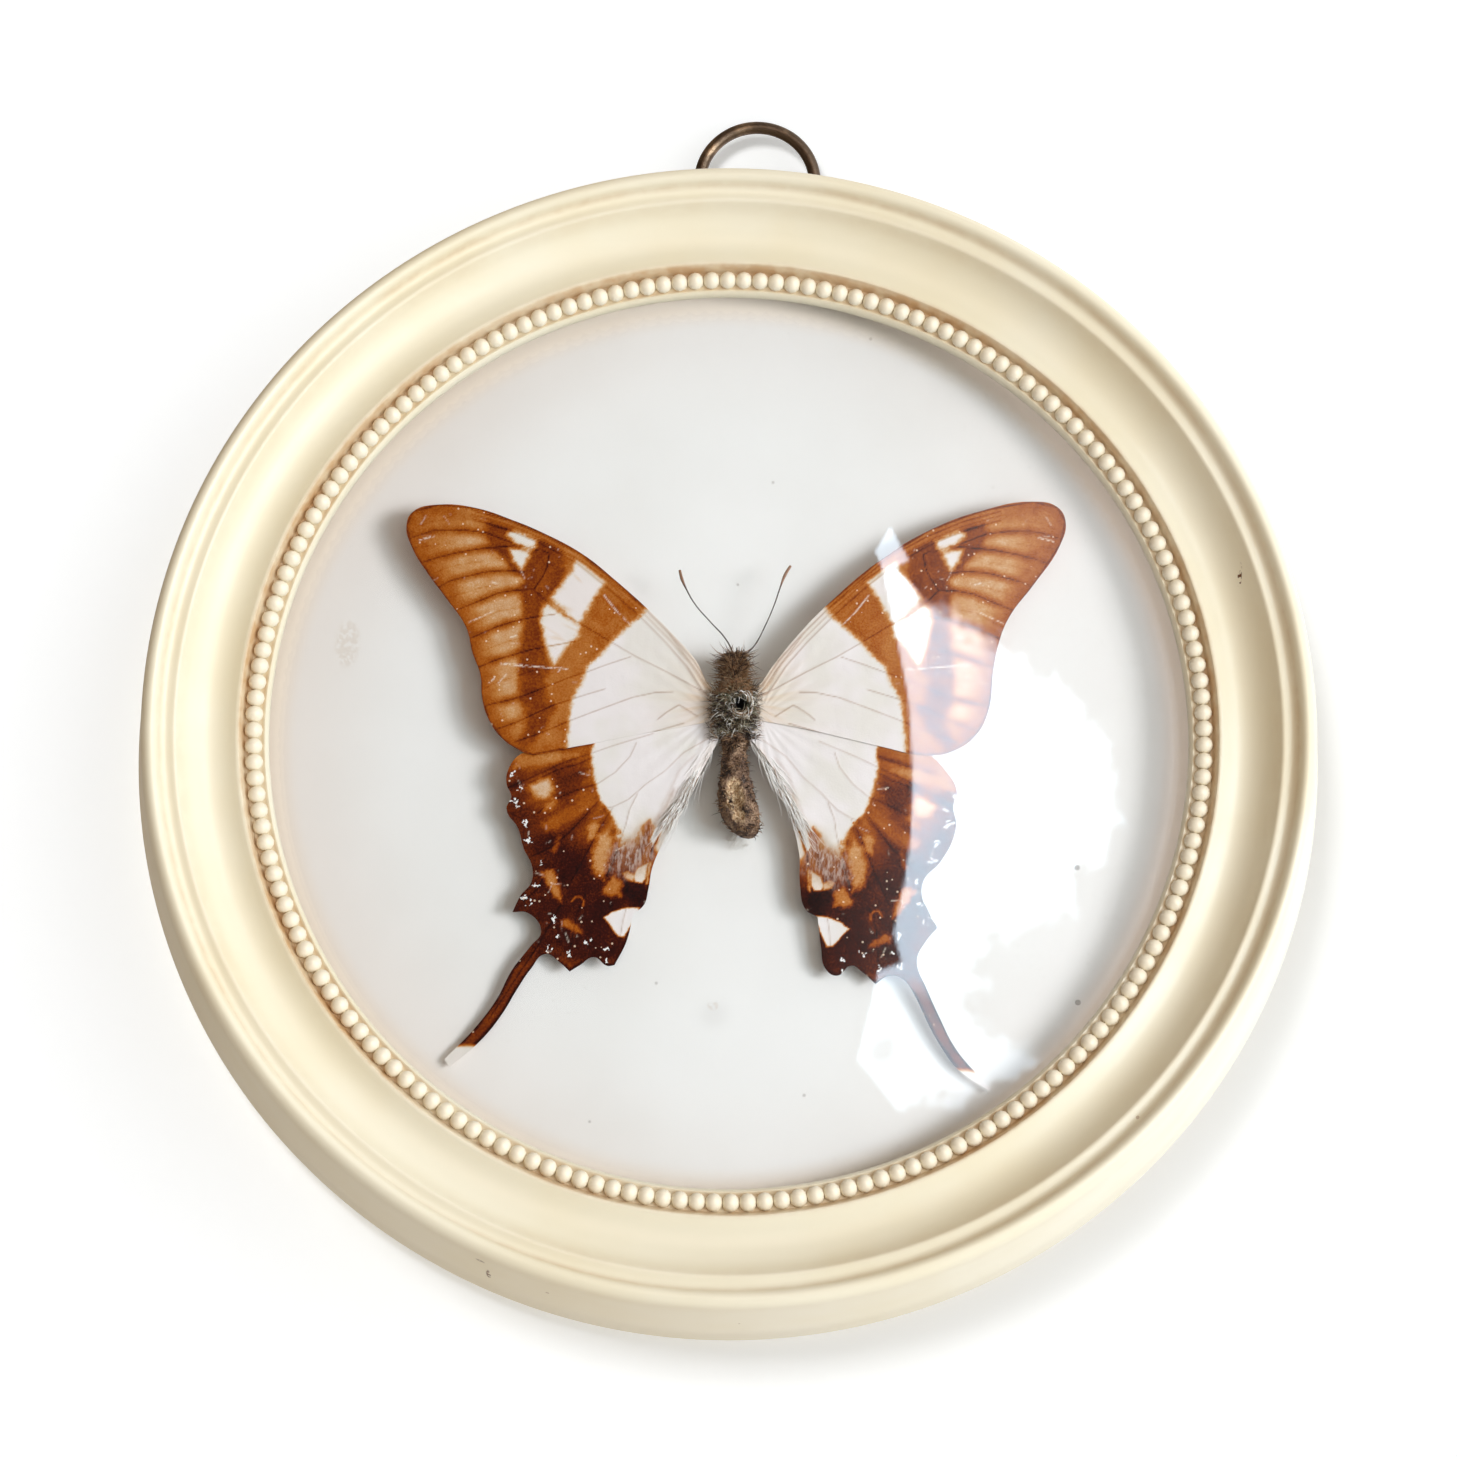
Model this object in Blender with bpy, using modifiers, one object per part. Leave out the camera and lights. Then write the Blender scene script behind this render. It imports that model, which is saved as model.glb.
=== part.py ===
"""Framed butterfly specimen: a round moulded frame with a domed glass, hung by a wire ring.

Run with: blender --background --python part.py

Everything is modelled face on, as it hangs: local X to the right, local Y up and local Z out of the wall
toward the viewer. One empty turns the whole object upright, so that in the world +Z is up, the front
faces -Y, and the origin is the centre of the flat back.
"""

import math

import bmesh
import bpy
from mathutils import Matrix, Vector

MM = 0.001

# Clearance kept between pieces that touch or cut each other
GAP = 0.3 * MM

# Frame moulding, as radii from the centre and heights above the back
FRAME_BACK_R = 75.75 * MM
FRAME_LIP_R = 73.5 * MM
LIP_CREST = (72.5 * MM, 16.75 * MM)
LIP_SHOULDER = (73.2 * MM, 16.5 * MM)
LIP_CORNER_HEIGHT = 15.8 * MM
GROOVE = (71.6 * MM, 16.0 * MM)
OUTER_RIDGE = (70.7 * MM, 15.9 * MM)
COVE_OUTER = (70.0 * MM, 15.1 * MM)
COVE_PULL = (66.6 * MM, 10.4 * MM)
COVE_INNER = (62.9 * MM, 11.2 * MM)
COVE_STEPS = 3
INNER_RIDGE = (61.9 * MM, 12.1 * MM)
INNER_RIDGE_FOOT = (61.4 * MM, 11.7 * MM)
OPENING_R = 58.15 * MM
REBATE_R = 61.2 * MM
LIP_UNDERSIDE = 8.8 * MM
SEAT_OUTER_HEIGHT = 7.8 * MM
EDGE_ROUND = 0.4 * MM
LIP_ROUND = 0.25 * MM
FRAME_SEGMENTS = 60

# Beads, moulded in one with the frame
BEAD_COUNT = 180
BEAD_CIRCLE_R = 60.0 * MM
BEAD_R = 0.98 * MM
BEAD_HEIGHT = 10.8 * MM
CHANNEL_HEIGHT = 10.4 * MM
CHANNEL_HALF_WIDTH = 1.15 * MM
BEAD_SIDES = 5

# Domed glass, card and board, stacked behind the inner lip
GLASS_THICKNESS = 1.3 * MM
GLASS_RISE = 10.5 * MM
GLASS_SEGMENTS = 36
GLASS_RINGS = 5
CARD_THICKNESS = 0.9 * MM
DISC_SEGMENTS = 48
DISC_R = 60.8 * MM
GLASS_EDGE_HEIGHT = SEAT_OUTER_HEIGHT - GAP / 2
CARD_TOP = GLASS_EDGE_HEIGHT - GLASS_THICKNESS - GAP
BOARD_TOP = CARD_TOP - CARD_THICKNESS - GAP

# Hanging ring, strap and nail on the rim's back
RING_R = 7.66 * MM
RING_WIRE_R = 0.84 * MM
RING_SEGMENTS = 24
RING_LEAN = math.radians(3.0)
HINGE_UP = 70.64 * MM
STRAP_WIDTH = 3.0 * MM
STRAP_METAL = 0.4 * MM
LOOP_R = 1.25 * MM
LOOP_NECK = 2.6 * MM
LOOP_START = math.radians(-115.0)
LOOP_STEPS = 8
LOOP_SIDES = 12
STRAP_END_UP = 63.6 * MM
HINGE_BACK = GAP + STRAP_METAL + LOOP_R
NAIL_UP = 66.0 * MM
NAIL_SHANK_R = 0.5 * MM
NAIL_HEAD_R = 1.1 * MM
NAIL_HEAD_HEIGHT = 0.55 * MM
NAIL_DEPTH = 3.0 * MM
NAIL_POINT = 1.0 * MM
NAIL_SIDES = 10
HOLE_SIDES = 8

# Butterfly: it is fixed a little turned from the ring's vertical
SPECIMEN_TURN = math.radians(2.8)
WING_THICKNESS = 0.3 * MM
WING_LIFT = 3.0 * MM
TAIL_LIFT = 1.2 * MM
WING_DROOP = 0.9 * MM
HALF_SPAN = 42.0 * MM
TAIL_REACH = 45.0 * MM
FOREWING_OVER = WING_THICKNESS + 1.3 * GAP
BEND_STEP = 7.5 * MM
BODY_MIDLINE = 0.7 * MM
BODY_SIDES = 12
BODY_AXIS_HEIGHT = CARD_TOP + GAP + 2.6 * MM
EYE_SPREAD = 1.3 * MM
EYE_CENTRE = (8.9 * MM, BODY_AXIS_HEIGHT + 0.3 * MM)
EYE_SIZE = (0.8 * MM, 0.9 * MM, 0.9 * MM)
PIN_HOLE_CENTRE = (1.5 * MM, 3.2 * MM, BODY_AXIS_HEIGHT + 2.3 * MM)
PIN_HOLE_SIZE = (0.45 * MM, 0.7 * MM, 1.6 * MM)
SPLIT_CENTRE = (0.9 * MM, -9.0 * MM, BODY_AXIS_HEIGHT + 2.6 * MM)
SPLIT_SIZE = (1.1 * MM, 3.4 * MM, 1.3 * MM)
ABDOMEN_SWAY = 1.7 * MM
ABDOMEN_START = -5.0 * MM
ABDOMEN_END = -13.8 * MM
ANTENNA_R = 0.15 * MM
ANTENNA_HEIGHT = BODY_AXIS_HEIGHT + 0.9 * MM

# Body outline in millimetres: half width, place along the body, from the brow to the tail end
BODY_PROFILE = [
    (0.0, 10.4), (1.0, 10.1), (1.7, 9.0), (1.6, 7.8), (1.2, 7.0), (1.9, 6.2), (2.5, 4.6), (2.6, 2.8),
    (2.2, 0.6), (1.5, -1.4), (1.5, -3.0), (2.0, -6.5), (2.5, -10.0), (1.7, -12.6), (0.0, -13.8),
]

# Wing outlines in millimetres, right and up from the frame's centre. TIP marks a sharp corner.
TIP = "tip"
FOREWING_LEFT = [
    (-1.2, 5.2, TIP), (-7.0, 12.5), (-14.3, 19.5), (-23.4, 25.8), (-32.3, 29.3), (-37.5, 29.8), (-40.7, 28.8),
    (-41.2, 26.6), (-38.3, 20.6), (-33.4, 13.6), (-31.5, 7.5), (-31.0, 3.6), (-29.6, 0.3), (-24.8, -3.1),
    (-16.7, -1.6), (-1.2, 1.4, TIP),
]
FOREWING_RIGHT = [
    (2.6, 5.0, TIP), (9.0, 12.8), (19.1, 22.3), (25.7, 26.5), (32.3, 29.1), (38.8, 30.4), (42.2, 29.6),
    (43.0, 27.6), (41.2, 23.0), (35.9, 15.6), (33.9, 10.5), (32.8, 2.8), (31.2, -0.4), (24.7, -3.1),
    (12.8, -0.5), (2.6, 1.5, TIP),
]
HINDWING_LEFT = [
    (-1.0, 1.2, TIP), (-16.3, -0.5), (-26.3, -3.0), (-28.1, -6.6), (-28.0, -9.9), (-25.8, -14.9),
    (-24.7, -18.4), (-25.7, -20.6), (-27.1, -23.1, TIP), (-25.1, -23.3), (-23.5, -25.4), (-24.0, -27.0),
    (-27.1, -30.9), (-29.5, -34.8), (-35.3, -42.2, TIP), (-34.6, -42.6, TIP), (-30.4, -38.6), (-26.0, -32.4),
    (-22.9, -28.3), (-19.9, -30.5, TIP), (-17.2, -28.7), (-14.4, -29.9, TIP), (-12.8, -26.7),
    (-12.0, -23.6, TIP), (-10.4, -20.4), (-7.8, -13.3), (-5.4, -8.9), (-1.4, -1.4, TIP),
]
HINDWING_RIGHT = [
    (2.4, 0.8, TIP), (24.4, -2.4), (27.4, -5.0), (28.8, -8.4), (28.5, -12.4), (24.6, -18.4), (24.5, -21.4),
    (26.2, -24.9, TIP), (24.3, -26.7), (24.2, -30.0), (27.5, -37.6), (32.7, -45.0, TIP), (32.3, -45.5, TIP),
    (26.2, -39.0), (22.3, -31.6), (20.1, -30.9), (18.3, -32.0, TIP), (15.6, -29.9), (13.2, -31.0, TIP),
    (11.8, -29.6), (11.1, -23.9), (9.4, -22.8, TIP), (8.9, -17.5), (7.0, -9.0), (2.8, -1.2, TIP),
]

# Antennae in millimetres, from the brow to the clubbed end
ANTENNA_LEFT = [
    (0.1, 11.0), (-0.6, 12.3), (-2.4, 14.3), (-4.4, 16.6), (-5.5, 18.4), (-6.0, 19.8), (-6.3, 21.0),
]
ANTENNA_RIGHT = [
    (2.3, 10.2), (3.2, 11.2), (4.7, 14.0), (5.7, 16.4), (6.5, 18.8), (7.1, 20.4), (7.8, 21.6),
]
CLUB_SWELL = [1.0, 1.0, 1.0, 1.0, 1.1, 2.0, 1.6]


def clear_scene():
    """Remove every object that the file opens with."""
    for item in list(bpy.data.objects):
        bpy.data.objects.remove(item, do_unlink=True)


def new_collection(name):
    collection = bpy.data.collections.new(name)
    bpy.context.scene.collection.children.link(collection)
    return collection


def material(name, colour, roughness, metallic=0.0, transmission=0.0):
    """A Principled material with one plain colour."""
    mat = bpy.data.materials.new(name)
    mat.use_nodes = True
    shader = mat.node_tree.nodes["Principled BSDF"]
    shader.inputs["Base Color"].default_value = (*colour, 1.0)
    shader.inputs["Roughness"].default_value = roughness
    shader.inputs["Metallic"].default_value = metallic
    shader.inputs["Transmission Weight"].default_value = transmission
    mat.diffuse_color = (*colour, 1.0)
    return mat


def place(item, collection, mat=None, parent=None):
    """Link an object, give it its material and hang it on its parent."""
    for owner in list(item.users_collection):
        owner.objects.unlink(item)
    collection.objects.link(item)
    if mat is not None:
        item.data.materials.clear()
        item.data.materials.append(mat)
    item.parent = parent
    return item


def as_cutter(item, parent):
    """Keep an object as a guide for a Boolean only."""
    place(item, CUTTERS, parent=parent)
    item.hide_render = True
    item.display_type = "WIRE"
    return item


def boolean(item, other, operation):
    step = item.modifiers.new(operation.title(), "BOOLEAN")
    step.operation = operation
    step.solver = "EXACT"
    step.object = other


def smooth(item, degrees=35.0):
    item.data.shade_smooth()
    item.data.set_sharp_from_angle(angle=math.radians(degrees))


def turned(name, profile, segments):
    """Turn a profile of (radius, height) about the local Z axis."""
    mesh = bpy.data.meshes.new(name)
    form = bmesh.new()
    points = [form.verts.new((radius, 0.0, height)) for radius, height in profile]
    for first, second in zip(points, points[1:]):
        form.edges.new((first, second))
    if profile[0][0] > 0.0:
        form.edges.new((points[-1], points[0]))
    form.to_mesh(mesh)
    form.free()
    item = bpy.data.objects.new(name, mesh)
    screw = item.modifiers.new("Turn", "SCREW")
    screw.axis = "Z"
    screw.angle = math.tau
    screw.steps = segments
    screw.render_steps = segments
    screw.use_merge_vertices = True
    screw.merge_threshold = 0.00001
    return item


def as_mesh(item):
    """Replace an object's curve or modifiers with the mesh that they make, seams welded."""
    bpy.context.scene.collection.objects.link(item)
    graph = bpy.context.evaluated_depsgraph_get()
    mesh = bpy.data.meshes.new_from_object(item.evaluated_get(graph))
    form = bmesh.new()
    form.from_mesh(mesh)
    bmesh.ops.remove_doubles(form, verts=form.verts, dist=0.00001)
    form.to_mesh(mesh)
    form.free()
    mesh.name = item.name
    name = item.name
    bpy.data.objects.remove(item, do_unlink=True)
    return bpy.data.objects.new(name, mesh)


def round_disc(name, radius, bottom, top):
    """A flat disc between two heights."""
    bpy.ops.mesh.primitive_cylinder_add(vertices=DISC_SEGMENTS, radius=radius, depth=top - bottom)
    item = bpy.context.object
    item.name = name
    item.data.name = name
    item.location = (0.0, 0.0, (top + bottom) / 2)
    return item


def cove_points():
    """The hollow between the two ridges, from the inner one outward, as one curve pulled down midway."""
    inner, pull, outer = Vector(COVE_INNER), Vector(COVE_PULL), Vector(COVE_OUTER)
    points = []
    for index in range(COVE_STEPS + 1):
        t = index / COVE_STEPS
        points.append(tuple(inner * (1 - t) ** 2 + pull * 2 * t * (1 - t) + outer * t * t))
    return points


def frame_profile():
    """The moulding's section as (radius, height), down the outer side first."""
    lip = [LIP_CREST, LIP_SHOULDER, (FRAME_LIP_R, LIP_CORNER_HEIGHT)]
    side = [(FRAME_BACK_R, EDGE_ROUND), (FRAME_BACK_R - EDGE_ROUND, 0.0)]
    rebate = [(REBATE_R, 0.0), (REBATE_R, SEAT_OUTER_HEIGHT), (OPENING_R + LIP_ROUND, LIP_UNDERSIDE)]
    inner_lip = [(OPENING_R, LIP_UNDERSIDE + 2 * LIP_ROUND),
                 (OPENING_R + LIP_ROUND, CHANNEL_HEIGHT - LIP_ROUND)]
    channel = [(BEAD_CIRCLE_R - CHANNEL_HALF_WIDTH, CHANNEL_HEIGHT),
               (BEAD_CIRCLE_R + CHANNEL_HALF_WIDTH, CHANNEL_HEIGHT)]
    ridges = [INNER_RIDGE_FOOT, INNER_RIDGE] + cove_points() + [OUTER_RIDGE, GROOVE]
    return lip + side + rebate + inner_lip + channel + ridges


def beads():
    """All the beads as one mesh, each a sphere set into the channel."""
    form = bmesh.new()
    for index in range(BEAD_COUNT):
        angle = math.tau * (index + 0.5) / BEAD_COUNT
        spot = Vector((math.cos(angle), math.sin(angle), 0.0)) * BEAD_CIRCLE_R
        spot.z = BEAD_HEIGHT
        turn = Matrix.Translation(spot) @ Matrix.Rotation(angle, 4, "Z")
        bmesh.ops.create_uvsphere(form, u_segments=BEAD_SIDES, v_segments=3, radius=BEAD_R, matrix=turn)
    mesh = bpy.data.meshes.new("beads")
    form.to_mesh(mesh)
    form.free()
    return bpy.data.objects.new("beads", mesh)


def nail_hole(name, deep, back, parent):
    """A cutter for the nail's hole, from deep in the rim to behind the strap."""
    radius = NAIL_SHANK_R + GAP
    hole = turned(name, [(0.0, deep), (radius, deep), (radius, back), (0.0, back)], HOLE_SIDES)
    hole.location = (0.0, NAIL_UP, 0.0)
    return as_cutter(hole, parent)


def make_frame(parent):
    ivory = material("ivory_plastic", (0.88, 0.80, 0.62), 0.38)
    frame = place(turned("moulded_frame", frame_profile(), FRAME_SEGMENTS), PART, ivory, parent)
    boolean(frame, as_cutter(beads(), parent), "UNION")
    boolean(frame, nail_hole("rim_hole", NAIL_DEPTH + GAP, -STRAP_WIDTH, parent), "DIFFERENCE")
    smooth(frame)


def make_glass(parent):
    """A shallow dome, cut from a sphere that rises by GLASS_RISE over its radius."""
    clear = material("clear_glass", (0.97, 0.98, 0.98), 0.02, transmission=1.0)
    sphere_r = (DISC_R ** 2 + GLASS_RISE ** 2) / (2 * GLASS_RISE)
    outer = []
    for index in range(GLASS_RINGS + 1):
        radius = DISC_R * index / GLASS_RINGS
        sink = sphere_r - math.sqrt(sphere_r ** 2 - radius ** 2)
        outer.append((radius, GLASS_EDGE_HEIGHT + GLASS_RISE - sink))
    inner = [(radius, height - GLASS_THICKNESS) for radius, height in reversed(outer)]
    glass = place(turned("convex_glass", outer + inner, GLASS_SEGMENTS), PART, clear, parent)
    smooth(glass)


def make_backing(parent):
    white = material("white_card", (0.84, 0.83, 0.80), 0.9)
    brown = material("brown_board", (0.36, 0.27, 0.18), 0.85)
    place(round_disc("backing_card", DISC_R, CARD_TOP - CARD_THICKNESS, CARD_TOP), PART, white, parent)
    place(round_disc("back_board", DISC_R, 0.0, BOARD_TOP), PART, brown, parent)


def strap_outline():
    """The folded strap seen from the side, as (up, out), and the loop's hole."""
    loop_outer = LOOP_R + STRAP_METAL
    flat_back = -GAP - 2 * STRAP_METAL
    points = [(STRAP_END_UP, -GAP), (STRAP_END_UP, flat_back), (HINGE_UP - LOOP_NECK, flat_back)]
    for index in range(LOOP_STEPS + 1):
        angle = LOOP_START + index * (math.pi / 2 - LOOP_START) / LOOP_STEPS
        points.append((HINGE_UP + loop_outer * math.cos(angle), -HINGE_BACK + loop_outer * math.sin(angle)))
    hole = []
    for index in range(LOOP_SIDES):
        angle = math.tau * index / LOOP_SIDES
        hole.append((HINGE_UP + LOOP_R * math.cos(angle), -HINGE_BACK + LOOP_R * math.sin(angle)))
    return points, hole


def make_strap(parent):
    """The strap's outline extruded sideways, with a hole for the nail."""
    dull = material("dull_steel", (0.42, 0.40, 0.37), 0.45, metallic=1.0)
    curve = bpy.data.curves.new("hanger_strap", "CURVE")
    curve.dimensions = "2D"
    curve.fill_mode = "BOTH"
    curve.extrude = STRAP_WIDTH / 2
    for outline in strap_outline():
        spline = curve.splines.new("POLY")
        spline.points.add(len(outline) - 1)
        spline.use_cyclic_u = True
        for point, (up, out) in zip(spline.points, outline):
            point.co = (up, out, 0.0, 1.0)
    strap = as_mesh(bpy.data.objects.new("hanger_strap", curve))
    # The outline's own X runs up the frame and its Y comes out of the wall
    strap.data.transform(Matrix(((0, 0, 1, 0), (1, 0, 0, 0), (0, 1, 0, 0), (0, 0, 0, 1))))
    place(strap, PART, dull, parent)
    boolean(strap, nail_hole("strap_hole", NAIL_POINT, -STRAP_WIDTH, parent), "DIFFERENCE")


def make_nail(parent):
    brass = material("nail_brass", (0.55, 0.42, 0.20), 0.4, metallic=1.0)
    head_front = -GAP - 2 * STRAP_METAL - GAP
    head_edge = head_front - NAIL_HEAD_HEIGHT / 4
    head_back = head_front - NAIL_HEAD_HEIGHT
    profile = [
        (0.0, NAIL_DEPTH), (NAIL_SHANK_R, NAIL_DEPTH - NAIL_POINT), (NAIL_SHANK_R, head_front),
        (NAIL_HEAD_R, head_front), (NAIL_HEAD_R, head_edge), (NAIL_HEAD_R / 2, head_back), (0.0, head_back),
    ]
    nail = place(turned("hanger_nail", profile, NAIL_SIDES), PART, brass, parent)
    nail.location = (0.0, NAIL_UP, 0.0)
    smooth(nail)


def make_ring(parent):
    """The ring stands up from its hinge, the middle of its lowest wire, leaning a little to the front."""
    bronze = material("dark_bronze", (0.16, 0.12, 0.09), 0.4, metallic=1.0)
    hinge = bpy.data.objects.new("ring_hinge", None)
    PART.objects.link(hinge)
    hinge.parent = parent
    hinge.location = (0.0, HINGE_UP, -HINGE_BACK)
    hinge.rotation_euler = (RING_LEAN, 0.0, 0.0)
    bpy.ops.mesh.primitive_torus_add(major_radius=RING_R, minor_radius=RING_WIRE_R,
                                     major_segments=RING_SEGMENTS, minor_segments=8)
    ring = bpy.context.object
    ring.name = "hanging_ring"
    ring.data.name = "hanging_ring"
    ring.data.transform(Matrix.Translation((0.0, RING_R, 0.0)))
    place(ring, PART, bronze, hinge)
    smooth(ring, 60.0)


def body_form(name, extra):
    """Head, thorax and abdomen as one turned form, swayed at its end; extra makes it fatter all over."""
    profile = []
    for half_width, along in BODY_PROFILE:
        radius = half_width * MM
        reach = 0.0
        if half_width == 0.0:
            reach = extra if along > 0 else -extra
        else:
            radius += extra
        profile.append((radius, along * MM + reach))
    body = as_mesh(turned(name, profile, BODY_SIDES))
    for point in body.data.vertices:
        along = point.co.z
        past = max(0.0, (ABDOMEN_START - along) / (ABDOMEN_START - ABDOMEN_END))
        across = point.co.x + BODY_MIDLINE + ABDOMEN_SWAY * past * past
        point.co = Vector((across, along, BODY_AXIS_HEIGHT - point.co.y))
    return body


def egg(name, centre, size, parent):
    """A cutter: a sphere stretched to the given half sizes."""
    form = bmesh.new()
    shape = Matrix.Translation(centre) @ Matrix.Diagonal((*size, 1.0))
    bmesh.ops.create_uvsphere(form, u_segments=8, v_segments=6, radius=1.0, matrix=shape)
    mesh = bpy.data.meshes.new(name)
    form.to_mesh(mesh)
    form.free()
    return as_cutter(bpy.data.objects.new(name, mesh), parent)


def make_body(parent):
    """The body with its eyes, the hole left in the thorax and the broken-open abdomen."""
    brown = material("body_brown", (0.22, 0.14, 0.09), 0.9)
    body = place(body_form("butterfly_body", 0.0), PART, brown, parent)
    for side in (-EYE_SPREAD, EYE_SPREAD):
        boolean(body, egg("eye", (BODY_MIDLINE + side, *EYE_CENTRE), EYE_SIZE, parent), "UNION")
    boolean(body, egg("pin_hole", PIN_HOLE_CENTRE, PIN_HOLE_SIZE, parent), "DIFFERENCE")
    boolean(body, egg("split", SPLIT_CENTRE, SPLIT_SIZE, parent), "DIFFERENCE")


def wing_height(across, up):
    """How high the wings' rear face lies: level across the forewings, sinking to the tails and the tips."""
    t = min(1.0, max(0.0, (up + TAIL_REACH) / TAIL_REACH))
    rise = TAIL_LIFT + (WING_LIFT - TAIL_LIFT) * t * t * (3 - 2 * t)
    return CARD_TOP + rise - WING_DROOP * ((across - BODY_MIDLINE) / HALF_SPAN) ** 2


def make_wing(name, outline, over, mat, fat_body, parent):
    """A thin sheet of the wing's outline, bent to the height above, and cut clear of the body."""
    curve = bpy.data.curves.new(name, "CURVE")
    curve.dimensions = "2D"
    curve.fill_mode = "BOTH"
    curve.extrude = WING_THICKNESS / 2
    curve.resolution_u = 2
    spline = curve.splines.new("BEZIER")
    spline.bezier_points.add(len(outline) - 1)
    spline.use_cyclic_u = True
    for knot, point in zip(spline.bezier_points, outline):
        knot.co = (point[0] * MM, point[1] * MM, 0.0)
        kind = "VECTOR" if TIP in point else "AUTO"
        knot.handle_left_type = kind
        knot.handle_right_type = kind
    wing = as_mesh(bpy.data.objects.new(name, curve))
    form = bmesh.new()
    form.from_mesh(wing.data)
    bmesh.ops.dissolve_limit(form, angle_limit=math.radians(1.0), verts=form.verts, edges=form.edges)
    for axis in (0, 1):
        low = min(point.co[axis] for point in form.verts)
        high = max(point.co[axis] for point in form.verts)
        normal = Vector((1.0, 0.0, 0.0)) if axis == 0 else Vector((0.0, 1.0, 0.0))
        for index in range(1, int((high - low) / BEND_STEP) + 1):
            geometry = form.verts[:] + form.edges[:] + form.faces[:]
            cut = normal * (low + index * BEND_STEP)
            bmesh.ops.bisect_plane(form, geom=geometry, plane_co=cut, plane_no=normal)
    for point in form.verts:
        point.co.z += WING_THICKNESS / 2 + over + wing_height(point.co.x, point.co.y)
    bmesh.ops.triangulate(form, faces=form.faces)
    form.to_mesh(wing.data)
    form.free()
    place(wing, PART, mat, parent)
    boolean(wing, fat_body, "DIFFERENCE")


def make_antenna(name, route, mat, parent):
    curve = bpy.data.curves.new(name, "CURVE")
    curve.dimensions = "3D"
    curve.bevel_depth = ANTENNA_R
    curve.bevel_resolution = 1
    curve.use_fill_caps = True
    spline = curve.splines.new("POLY")
    spline.points.add(len(route) - 1)
    for point, (across, up), swell in zip(spline.points, route, CLUB_SWELL):
        point.co = (across * MM, up * MM, ANTENNA_HEIGHT, 1.0)
        point.radius = swell
    place(as_mesh(bpy.data.objects.new(name, curve)), PART, mat, parent)


def make_butterfly(parent):
    turn = bpy.data.objects.new("specimen_turn", None)
    PART.objects.link(turn)
    turn.parent = parent
    turn.rotation_euler = (0.0, 0.0, SPECIMEN_TURN)
    make_body(turn)
    fat_body = as_cutter(body_form("body_clearance", GAP), turn)
    tan = material("wing_tan", (0.50, 0.24, 0.08), 0.7)
    dark = material("wing_dark", (0.20, 0.08, 0.03), 0.7)
    horn = material("antenna_brown", (0.12, 0.07, 0.04), 0.6)
    make_wing("forewing_left", FOREWING_LEFT, FOREWING_OVER, tan, fat_body, turn)
    make_wing("forewing_right", FOREWING_RIGHT, FOREWING_OVER, tan, fat_body, turn)
    make_wing("hindwing_left", HINDWING_LEFT, 0.0, dark, fat_body, turn)
    make_wing("hindwing_right", HINDWING_RIGHT, 0.0, dark, fat_body, turn)
    make_antenna("antenna_left", ANTENNA_LEFT, horn, turn)
    make_antenna("antenna_right", ANTENNA_RIGHT, horn, turn)


clear_scene()
PART = new_collection("framed_butterfly_specimen")
CUTTERS = new_collection("cutters")
upright = bpy.data.objects.new("upright", None)
PART.objects.link(upright)
upright.rotation_euler = (math.pi / 2, 0.0, 0.0)
make_frame(upright)
make_glass(upright)
make_backing(upright)
make_strap(upright)
make_nail(upright)
make_ring(upright)
make_butterfly(upright)
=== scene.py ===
"""Framed butterfly specimen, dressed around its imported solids.

The file is laid out as an add-on: sizes and colours, one operator for each piece or group of like pieces and
one for the stage, a panel that lists them, and a main function that runs them in order. Pieces are shaped face
on, with X to the right, Y up and Z out of the wall toward the viewer, and then stood upright, so that in the
world +Z is up and the front faces -Y.
"""

import math
import random

import bpy
import numpy as np
from bpy.props import FloatProperty, FloatVectorProperty, IntProperty, PointerProperty
from bpy.types import Operator, Panel, PropertyGroup
from mathutils import Matrix, Vector, noise


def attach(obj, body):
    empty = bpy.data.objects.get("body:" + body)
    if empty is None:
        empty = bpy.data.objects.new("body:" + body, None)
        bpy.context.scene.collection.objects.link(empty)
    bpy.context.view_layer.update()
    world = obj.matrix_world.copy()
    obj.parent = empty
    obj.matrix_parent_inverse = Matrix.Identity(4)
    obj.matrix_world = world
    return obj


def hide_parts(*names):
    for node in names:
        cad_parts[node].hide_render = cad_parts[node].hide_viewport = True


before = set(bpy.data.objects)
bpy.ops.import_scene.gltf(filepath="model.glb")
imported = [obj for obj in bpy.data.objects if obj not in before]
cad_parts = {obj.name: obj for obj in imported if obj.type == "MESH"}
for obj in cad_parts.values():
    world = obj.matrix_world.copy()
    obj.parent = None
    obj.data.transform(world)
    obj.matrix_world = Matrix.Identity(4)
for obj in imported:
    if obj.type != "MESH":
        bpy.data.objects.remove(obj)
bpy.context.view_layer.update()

bl_info = {
    "name": "Framed butterfly specimen",
    "version": (1, 0, 0),
    "blender": (4, 5, 0),
    "location": "View3D > Sidebar > Specimen",
    "description": "Builds a framed butterfly specimen under domed glass, piece by piece",
    "category": "Object",
}

MM = 0.001
UPRIGHT = Matrix.Rotation(math.pi / 2, 4, "X")
SPECIMEN_TURN = Matrix.Rotation(math.radians(2.8), 4, "Z")

# Heights above the back that the pieces share, as in the solids
CARD_TOP = 6.05
BOARD_TOP = 4.85
GLASS_EDGE_HEIGHT = 7.65
GLASS_RISE = 10.5
DISC_R = 60.8
BEAD_CIRCLE_R = 60.0
BEAD_HEIGHT = 10.8
HINGE_UP = 70.64
HINGE_BACK = 1.95
NAIL_UP = 66.0
BODY_MIDLINE = 0.7
BODY_AXIS_HEIGHT = 8.95
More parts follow.
